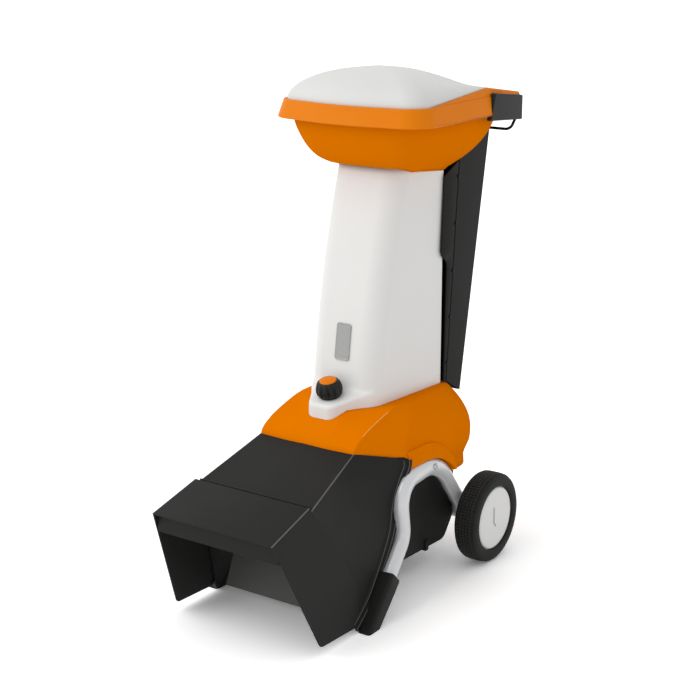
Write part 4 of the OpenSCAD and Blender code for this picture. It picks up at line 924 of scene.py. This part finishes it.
def bowl_outline(step):
    """Ring of the bowl at a step, ending below the rim's falling deck."""
    share, side, front, rear = step
    half = RIM_W / 2 - 11 - side
    bow = RIM_BOW * (2 * half / RIM_W) ** 2
    plan = shield(2 * half, 2 * half, -RIM_FRONT + 9 + front, bow, REAR - 42 - rear, 0.42 * half, 0.3 * half)
    z = mix(TOWER_Z, BOWL_TOP, share)
    near = (1 - share) ** 5
    ring = []
    for p in plan:
        ring.append((p[0], p[1], min(z + near * saddle(p) - share * dip(p[1]), RIM_Z - 5.2 - fall(p[1]))))
    return ring


rows = chaikin(bowl_steps, 2)
foot = [(p[0], p[1], TOWER_Z + saddle(p)) for p in tower_outline(TOWER_Z)]
rings = [foot] + [bowl_outline(s) for s in rows]
finish_piece("hopper_bowl_shell", loft(rings), orange_abs, "tower", "hopper_bowl", sharp=60, wall=3.5)

# %% [markdown]
# The lid is a dome that drops steeply to its edge at the front and sides, but runs out in a hollow
# shoulder towards the hinge. Its height is a blend of the two: a quarter ellipse for the front and a
# bell curve for the back, mixed by how far back a point lies. Rings shrink towards one centre.

# %% Hopper lid
LID_RISE = 66.0
lid_centre = Vector((0, -137))
lid_edge = hopper_outline(8.5, LID_BACK - 1.5, 26)


def dome_ring(turn):
    """Ring of the dome, from its edge at 0 to its crown at a quarter turn."""
    k = cos(turn)
    ring = []
    for p in lid_edge:
        back = max(0, (p[1] - lid_centre.y) / (LID_BACK - lid_centre.y))
        rise = mix(sin(turn), (1 - k * k) ** 1.35, 0.85 * smooth(back))
        place = lid_centre + (Vector(p) - lid_centre) * k
        side = lift(place.x, place.y) * k ** 4
        ring.append((place.x, place.y, RIM_Z + LID_RISE * rise + side))
    return ring


turns = (0, 2, 5, 8, 12, 16, 21, 26, 32, 38, 44, 50, 56, 62, 68, 74, 79, 83, 86, 88, 89.5)
rings = [dipped(lid_edge, RIM_Z - 8.7)] + [dome_ring(radians(t)) for t in turns]
lid = loft(rings, caps=(False, True))
finish_piece("hopper_lid_dome", lid, lid_asa, "lid", "hopper_lid", sharp=70, wall=3)

# %% [markdown]
# Lid and rim meet in two hinges: an arm with an eye on the lid, beside a lug with an eye on the rim, and a
# rod through both. They are small prisms with a round boss, so they are drawn together.

# %% Lid hinges
HINGE_Y, HINGE_Z, HINGE_X = LID_BACK + 8, RIM_Z + 8.5, 95.0
LUG, EYE_GAP, LID_EYE = 12.0, 0.3, 16.0


def boss(x, y, z, length, d, segments=32):
    """A round boss along X."""
    bm = bmesh.new()
    place = Matrix.Translation((x, y, z)) @ Matrix.Rotation(pi / 2, 4, "Y")
    bmesh.ops.create_cone(bm, cap_ends=True, segments=segments, radius1=d / 2, radius2=d / 2, depth=length,
                          matrix=place)
    return bm


def eyes(arm, x, y, z, d):
    """A pair of flat arms, right and left, each with a round eye on its end."""
    return both_sides(join(prism(arm, x - LUG / 2, x + LUG / 2), boss(x, y, z, LUG, d)))


arm = [(LID_BACK - 6, RIM_Z), (HINGE_Y, RIM_Z + 1), (HINGE_Y, HINGE_Z + 8), (LID_BACK - 6, HINGE_Z + 5)]
arms = eyes(arm, HINGE_X - LUG - EYE_GAP, HINGE_Y, HINGE_Z, LID_EYE)
finish_piece("lid_hinge_arms", arms, white_asa, "lid", edge=1.2, steps=2)
lug = [(LID_BACK + 0.5, RIM_Z - 1), (HINGE_Y + 16, RIM_Z - 3), (HINGE_Y + 8, HINGE_Z), (HINGE_Y - 8, HINGE_Z)]
lugs = eyes(lug, HINGE_X, HINGE_Y, HINGE_Z, LID_EYE)
finish_piece("rim_hinge_lugs", lugs, rim_abs, "tower", edge=1.2, steps=2)

# %% [markdown]
# ## Transport handle
# A dark band runs round the back of the rim, below its orange strip. Its front ends are cut at a slant.
# The outline is a U seen from above; it is extruded upwards, the top follows the falling strip, and a
# bevel rounds all edges for the hand.

# %% Handle band
HANDLE_SIDE, HANDLE_BACK, HANDLE_HALF = 13.0, 21.0, RIM_W / 2 + 11


def horseshoe(half, back, r):
    """A line round the back of the rim, from the right-hand joint to the left-hand one."""
    corners = [(half, JOINT_Y), (half, back), (-half, back), (-half, JOINT_Y)]
    return rounded(corners, [0, r, r, 0], 6, closed=False)


outer = horseshoe(HANDLE_HALF, REAR, 14)
inner = horseshoe(HANDLE_HALF - HANDLE_SIDE, REAR - HANDLE_BACK, 8)[::-1]
bm = slab(at_height(outer + inner, HANDLE_LOW), (0, 0, RIM_Z - HANDLE_LOW))
for vert in bm.verts:
    high = vert.co.z > HANDLE_LOW + 1
    if vert.co.y < JOINT_Y + 1:
        vert.co.y = joint(RIM_Z if high else HANDLE_LOW) + 0.4
    vert.co.z = grip_top(vert.co.y) - 0.5 if high else grip_low(vert.co.y)
finish_piece("transport_handle_band", bm, grey_pp, "tower", "rear_handle", sharp=40, edge=3.0, steps=4)

# %% [markdown]
# ## Rear cover
# Behind the tower stands a black channel that carries the switch. Its side walls have a seam with a row
# of screws and a lip that laps over the tower's rear edge. The cross-section is one closed line, a
# channel with a notch for each seam, lofted upwards while its back leans out. The walls open a little
# towards the back, as a moulding does to leave its mould.

# %% Cover channel
COVER_HALF, COVER_FOOT, COVER_MARK, COVER_WALL, COVER_DRAFT = 125.0, 426.0, 1046.0, 4.0, 5.0
BACK_LOW, BACK_HIGH, SEAM_LOW, SEAM_HIGH = 35.0, 150.0, -26.0, 13.0
SCREW_LOW, SCREW_HIGH, LAP_LOW, LAP_HIGH = 510.0, 974.0, 762.0, 796.0


def cover_back(z):
    """Place of the cover's back at a height."""
    return mix(BACK_LOW, BACK_HIGH, (z - COVER_FOOT) / (COVER_MARK - COVER_FOOT))


def seam_y(z):
    """Place of the seam on the side wall at a height."""
    return mix(SEAM_LOW, SEAM_HIGH, (z - SCREW_LOW) / (SCREW_HIGH - SCREW_LOW))


def lip_y(z):
    """Front edge of the cover: it laps further over the tower in the upper half, then steps back."""
    lower = mix(-TOWER_BACK, -33, (z - DECK_Z) / (LAP_LOW - DECK_Z))
    upper = mix(-61, -50, (z - LAP_HIGH) / (TOWER_Z - LAP_HIGH))
    return mix(lower, upper, smooth((z - LAP_LOW) / (LAP_HIGH - LAP_LOW)))


def channel(z):
    """Half of the channel's outline at a height, from the middle of its back round to its inside."""
    x, back, seam = COVER_HALF, cover_back(z), seam_y(z)
    corner = rounded([(0, back), (x + COVER_DRAFT, back), (x, seam + 3)], [0, 6, 0], 8, closed=False)
    lip = lip_y(z)
    notch = [(x - 2.5, seam + 1), (x - 2.5, seam - 1), (x, seam - 3), (x, lip + 2), (x - 1.2, lip)]
    inside = [(x - COVER_WALL, lip + 0.5), (x + COVER_DRAFT - COVER_WALL, back - 6), (0, back - COVER_WALL)]
    return corner + [Vector(p) for p in notch + inside]


print("cover foot", COVER_FOOT, "screws", SCREW_LOW, "to", SCREW_HIGH)

# %% Cover shell
# Foot and top are not level: both depend on how far back a point lies, and the back depends on the height.
# Three rounds of working out one from the other settle the height of each point.
TOP_FRONT, TOP_BACK, COVER_DEPTH, COVER_STEPS = 988.0, 1076.0, 190.0, 40
rings = []
for k in range(COVER_STEPS + 1):
    f = k / COVER_STEPS
    ring = []
    for index in range(len(channel(COVER_FOOT))):
        z = mix(COVER_FOOT, (TOP_FRONT + TOP_BACK) / 2, f)
        for _ in range(3):
            y = channel(z)[index].y
            foot = mix(DECK_Z + 2, COVER_FOOT, min(max((y - 8) / 16, 0), 1))
            top = mix(TOP_FRONT, TOP_BACK, (y + TOWER_BACK) / COVER_DEPTH)
            z = mix(foot, top, f)
        ring.append(Vector((*channel(z)[index], z)))
    rings.append(ring + [Vector((-p.x, p.y, p.z)) for p in reversed(ring)])
finish_piece("rear_cover_shell", loft(rings), cover_pp, "tower", "rear_cover", sharp=35)

# %% Tower hinge
# The cover's foot has two knuckles between two ears of the base, on the pin that the tower tilts on.
TILT_Y, TILT_Z, TILT_X, TILT_BOSS = 48.0, 445.0, 60.0, 17.0
knuckle = [(TILT_Y, TILT_Z + 8.5), (cover_back(TILT_Z + 40) - 2, TILT_Z + 40),
           (cover_back(TILT_Z - 8) - 2, TILT_Z - 8), (TILT_Y, TILT_Z - 6.5)]
knuckles = eyes(knuckle, TILT_X - LUG - EYE_GAP, TILT_Y, TILT_Z, TILT_BOSS)
finish_piece("tower_knuckles", knuckles, black_pp, "tower", edge=1.2, steps=2)
ear = [(BASE_REAR - 4, BELT_Z - 10), (BASE_REAR - 4, BELT_Z + 30),
       (TILT_Y - 2, TILT_Z - 4), (TILT_Y + 8.5, TILT_Z)]
ears = eyes(ear, TILT_X, TILT_Y, TILT_Z, TILT_BOSS)
finish_piece("base_ears", ears, orange_abs, "base", edge=1.2, steps=2)

# %% [markdown]
# ## Tube frame
# Each side of the frame is one bent tube: up from the foot, over an arch, and down to the axle. At the
# arch the tube is pressed a little flat, which gives it a broad face for its screw. A sweep along the
# bent line does this, with a section that changes shape where the line is high.

# %% Frame tubes
AXLE_LUG, LUG_OUT, PRESS_Z, PRESS_HALF = 58.0, 197.0, 236.0, 17.5
turn_in = Matrix.Rotation(TOE_IN, 3, "Z")


def on_frame(y, z, out=0.0):
    """Point in the tilted plane of the right-hand frame."""
    return Vector((FRAME_X, 0, 0)) + turn_in @ Vector((out, y, z))


smooth_line = []
for p, q in zip(arch_line, arch_line[1:]):
    parts = max(1, round((q - p).length / 12))
    smooth_line += [mix(p, q, k / parts) for k in range(parts)]
smooth_line.append(arch_line[-1])
tube_path = [on_frame(p.x, p.y) for p in smooth_line if p.y > 50]


def tube_section(f):
    """Round tube, pressed into an oval on the arch."""
    z = tube_path[round(f * (len(tube_path) - 1))].z
    press = smooth((z - PRESS_Z) / 60)
    across, tall = mix(TUBE_D / 2, PRESS_HALF, press), mix(TUBE_D / 2, 22.5, press)
    return [(across * cos(2 * pi * k / 28), tall * sin(2 * pi * k / 28)) for k in range(28)]


tube = sweep(tube_path, tube_section)
lug = boss(LUG_OUT - AXLE_LUG / 2, 0, AXLE_Z, AXLE_LUG, 42, 40)
right = join(tube, lug)
for name, bm in (("right", right), ("left", mirrored(right))):
    finish_piece("frame_tube_" + name, bm, silver_coat, "base", "side_frame_" + name,
                 edge=1.2, steps=2, sharp=50)

# %% Foot sleeves
# A black boot of rounded square section slips over each foot and is cut level with the ground.
BOOT_HALF = 23.0
foot, knee = Vector(arch_corners[0]), Vector(arch_corners[1])
leg = (knee - foot).normalized()
line = [foot + leg * d for d in (-46, 0, 50, 100, 137, 140)]
square = rounded([(BOOT_HALF, BOOT_HALF), (-BOOT_HALF, BOOT_HALF), (-BOOT_HALF, -BOOT_HALF),
                  (BOOT_HALF, -BOOT_HALF)], [9] * 4, 5)


def boot_section(f):
    """The boot widens upwards from the ground and is drawn in at its upper edge."""
    grow = 0.95 if f > 0.99 else min(1, 0.70 + 0.45 * f)
    return [p * grow for p in square]


boot = sweep([on_frame(p.x, p.y) for p in line], boot_section)
whole = boot.verts[:] + boot.edges[:] + boot.faces[:]
cut = bmesh.ops.bisect_plane(boot, geom=whole, plane_co=(0, 0, 0.2), plane_no=(0, 0, -1), clear_outer=True)
bmesh.ops.contextual_create(boot, geom=only(cut["geom_cut"], bmesh.types.BMEdge))
for name, bm in (("right", boot), ("left", mirrored(boot))):
    finish_piece("foot_boot_" + name, bm, black_pp, "base", "foot_sleeve_" + name,
                 edge=1.5, steps=2, sharp=50)

# %% [markdown]
# ## Wheels
# A solid rubber tyre sits on a white disc. Its cross-section is drawn once and spun round the axle. The
# tread is made from the spun faces themselves: each face of five bands is inset and lifted, which leaves
# rows of small blocks with grooves between them.

# %% Tyre
WHEEL_OUT, WHEEL_R, WHEEL_W, DISC_R = 264.0, 115.0, 62.0, 86.0
TREAD, TREAD_W, BANDS = 2.2, 44.0, 5


def spun(points, centre, axis, segments):
    """A shape turned about an axis, from the points of its profile."""
    bm = bmesh.new()
    line = [bm.verts.new(p) for p in points]
    edges = [bm.edges.new(pair) for pair in zip(line, line[1:])]
    bmesh.ops.spin(bm, geom=line + edges, cent=centre, axis=axis, angle=2 * pi, steps=segments,
                   use_merge=True)
    bmesh.ops.remove_doubles(bm, verts=bm.verts, dist=0.01)
    bmesh.ops.recalc_face_normals(bm, faces=bm.faces)
    return bm


def on_axle(profile, segments):
    """A shape turned about the axle. The profile gives radius and depth from the wheel's outer face."""
    points = [(WHEEL_OUT - depth, 0, AXLE_Z + r) for r, depth in profile]
    return spun(points, (0, 0, AXLE_Z), (1, 0, 0), segments)


wall_out = [(DISC_R - 4, 5), (DISC_R - 1, 1.5), (DISC_R + 5, 0), (101, 0), (107, 1.6), (111, 4.6)]
base_r = WHEEL_R - TREAD
shoulder = (WHEEL_W - TREAD_W) / 2
tread_line = []
for k in range(BANDS + 1):
    crown = base_r - (1.2 if k in (0, BANDS) else 0)
    tread_line.append((crown, shoulder + TREAD_W * k / BANDS))
wall_in = [(r, WHEEL_W - depth) for r, depth in reversed(wall_out)]
tyre = on_axle(wall_out + tread_line + wall_in + [wall_out[0]], 90)
blocks = []
for face in tyre.faces:
    middle = face.calc_center_median()
    if Vector((middle.y, middle.z - AXLE_Z)).length > base_r - 1.5 and abs(face.normal.x) < 0.35:
        blocks.append(face)
bmesh.ops.inset_individual(tyre, faces=blocks, thickness=0.95, depth=TREAD, use_even_offset=True)
# The tops of the blocks take the lighter rubber, a painted highlight.
for block in blocks:
    block.material_index = 1
print(len(blocks), "tread blocks")
for name, bm in (("right", tyre), ("left", mirrored(tyre))):
    tread = finish_piece("tyre_tread_" + name, bm, tyre_rubber, "wheel_" + name, "tyre_" + name, sharp=32)
    tread.data.materials.append(tread_highlight_rubber)

# %% Hub discs
# The white disc is gently domed and has a shadow gap to the tyre. Its face has a moulded hook-shaped groove,
# drawn as a slim grey bead: painted shade of the groove.
BEAD_R, HUB_CURVE = 2.2, 0.00028
disc = on_axle([(0.01, 1.2), (30, 1.5), (60, 2.2), (72, 3), (77, 4), (79.5, 5.6), (80.3, 8), (80.3, 18)], 96)
hook = rounded([(32, 12), (-9, 12), (-20, 2)], [0, 14, 0], 8, closed=False)
line = [Vector((WHEEL_OUT - 1.5 - HUB_CURVE * (p.x ** 2 + p.y ** 2), -p.y, AXLE_Z + p.x)) for p in hook]
bead = sweep(line, lambda f: circle(BEAD_R))
for name, hub, mark in (("right", disc, bead), ("left", mirrored(disc), mirrored(bead))):
    finish_piece("hub_disc_" + name, hub, white_asa, "wheel_" + name, "hub_cap_" + name, sharp=45)
    finish_piece("hub_hook_" + name, mark, shade_asa, "wheel_" + name)

# %% [markdown]
# ## Locking knob
# The knob on the toe clamps the tower to the base. Its grip is a ring of twelve flutes that fade out
# towards a narrower, rounded top, with an orange cap let into it. The grip is a loft of wavy circles; the
# cap is a spun profile with a shallow ring groove.

# %% Knob
knob_place = Matrix.Translation((0, -KNOB_Y, KNOB_Z)) @ Matrix.Rotation(KNOB_LEAN, 4, "X")
FLUTES = 12


def wavy(radius, depth, z):
    """A circle with flutes of a depth."""
    ring = []
    for k in range(FLUTES * 10):
        turn = 2 * pi * k / (FLUTES * 10)
        ring.append((radius - depth * max(0, cos(FLUTES * turn)) ** 1.4) * Vector((cos(turn), sin(turn), 0))
                    + Vector((0, 0, z)))
    return ring


grip_steps = [(24, 0, -5.6), (26, 0, -5.4), (27, 0, -1), (29.5, 1.5, -0.4), (31, 3, 1.5), (32.2, 4, 8),
              (32.2, 4, 15), (30.8, 3.6, 22), (28.8, 3, 27.5), (26, 1.6, 31.5), (23.4, 0.4, 33.8),
              (21.6, 0, 34.4), (21, 0, 33), (5.2, 0, 33)]
grip = loft([wavy(*step) for step in grip_steps])
bmesh.ops.transform(grip, matrix=knob_place, verts=grip.verts)
finish_piece("knob_grip", grip, knob_pa, "knob", "clamp_knob", sharp=50)
cap_line = [(0.01, 38.6), (8, 38.5), (13, 38.1), (14, 37.3), (15, 37.3), (16, 37.9), (18.4, 37.2),
            (20.2, 36), (20.8, 34.5), (20.8, 33.2)]
cap = spun([(r, 0, z) for r, z in cap_line], (0, 0, 0), (0, 0, 1), 64)
bmesh.ops.transform(cap, matrix=knob_place, verts=cap.verts)
finish_piece("knob_orange_cap", cap, rim_abs, "knob", "knob_cap", sharp=50)

# %% Blank plate
# A small brushed plate sits on the tower's front. It is a rounded rectangle with a stepped border.
# One point of the tower's outline, on the front near the middle, gives the wall that it sits on.
PLATE_Z, PLATE_W, PLATE_H, PLATE_X, PLATE_T = 609.0, 41.0, 89.0, 4.0, 1.6
PLATE_LEAN, FRONT_POINT = radians(-8.2), -7
plate_place = (Matrix.Translation((PLATE_X, tower_outline(PLATE_Z)[FRONT_POINT].y - 0.6, PLATE_Z))
               @ Matrix.Rotation(PLATE_LEAN + pi / 2, 4, "X"))
x, y = PLATE_W / 2, PLATE_H / 2
plate = slab(at_height(rounded([(x, -y), (x, y), (-x, y), (-x, -y)], [7] * 4, 6), 0), (0, 0, PLATE_T))
upper = [f for f in plate.faces if all(v.co.z > PLATE_T / 2 for v in f.verts)]
bmesh.ops.inset_region(plate, faces=upper, thickness=2.6, depth=0)
bmesh.ops.inset_region(plate, faces=upper, thickness=0.5, depth=-0.6)
bmesh.ops.transform(plate, matrix=plate_place, verts=plate.verts)
finish_piece("blank_front_plate", plate, brushed, "tower", "blank_plate", sharp=30, edge=0.35, steps=2)

# %% [markdown]
# ## Lower shell and screws
# Below the housing a black tub closes the motor in. Only its flanks show, through the arches of the
# frame. It is a bevelled prism with a clip on its lower edge.

# %% Lower shell
SHELL_HALF, PLATE_LEVEL = 148.0, 290.0
tub = rounded([(-350, PLATE_LEVEL), (-350, 102), (-300, 64), (-66, 56), (-24, 108), (-24, PLATE_LEVEL)],
              [1, 30, 40, 30, 30, 1], 6)
clip = prism([(-160, 54), (-160, 82), (-146, 82), (-146, 54)], SHELL_HALF - 6, SHELL_HALF + 5)
shell = join(prism(tub, -SHELL_HALF, SHELL_HALF), both_sides(clip))
finish_piece("lower_shell_tub", shell, black_pp, "base", "lower_shell", sharp=30, edge=3, steps=3)


# %% Screw heads
def screw_head(place, d, rise):
    """A pan head with a round socket, standing on a place along its local Z."""
    bm = bmesh.new()
    bmesh.ops.create_cone(bm, cap_ends=True, segments=36, radius1=d / 2, radius2=0.42 * d, depth=rise,
                          matrix=Matrix.Translation((0, 0, rise / 2)))
    top = [f for f in bm.faces if f.normal.z > 0.9]
    bmesh.ops.inset_region(bm, faces=top, thickness=0.2 * d)
    bmesh.ops.inset_region(bm, faces=top, thickness=0.01 * d, depth=-0.6 * rise)
    bmesh.ops.transform(bm, matrix=place, verts=bm.verts)
    return bm


# Each screw sits on the level part of the arch, nearer to its rear end.
arch_start, arch_end = -arch_corners[2][0], -arch_corners[3][0]
SCREW_Y = (arch_start + 2 * arch_end) / 3 - 28
face_x = FRAME_X + SCREW_Y * tan(TOE_IN) + PRESS_HALF
screw_place = (Matrix.Translation((face_x, -SCREW_Y, ARCH_Z)) @ Matrix.Rotation(TOE_IN, 4, "Z")
               @ Matrix.Rotation(pi / 2, 4, "Y"))
head = screw_head(screw_place, 16, 4.5)
finish_piece("frame_screw_heads", both_sides(head), zinc_steel, "base", "frame_screws", edge=0.5, steps=2)

# %% [markdown]
# ## Finishes for the carried-over parts
# Pins, motor, cutting disc, buttons and other exact parts keep their CAD shape and only get a finish. A
# table lists the parts by finish. A part that is not in it, such as a pin or a bearing, is zinc-plated.

# %% Finishes by part
finishes = ((chute_pp, ["deflector_plate"]), (blade_steel, ["counter_blade", "cutting_blades"]),
            (brass, ["clamp_bush", "inlet_pins"]), (black_pp, ["safety_switch", "cooling_fan"]),
            (dark_steel, ["flap_hinge_rod", "blade_bolts", "disc_nut", "motor_bolts"]),
            (wire_paint, ["cable_hook", "cover_screws"]), (grey_pp, ["switch_box", "mains_inlet"]),
            (green_pc, ["start_button"]), (red_pc, ["stop_button"]), (tyre_rubber, ["splash_flap"]),
            (white_asa, ["wheel_disc_right", "wheel_disc_left"]),
            (core_steel, ["motor_stator", "rotor_core"]),
            (cast_alloy, ["upper_end_bell", "lower_end_bell", "run_capacitor"]))
finish_of = {part: finish for finish, parts in finishes for part in parts}
for name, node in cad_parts.items():
    node.data.materials.clear()
    node.data.materials.append(finish_of.get(name, zinc_steel))
print(len(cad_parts), "CAD nodes finished")

bpy.context.view_layer.update()
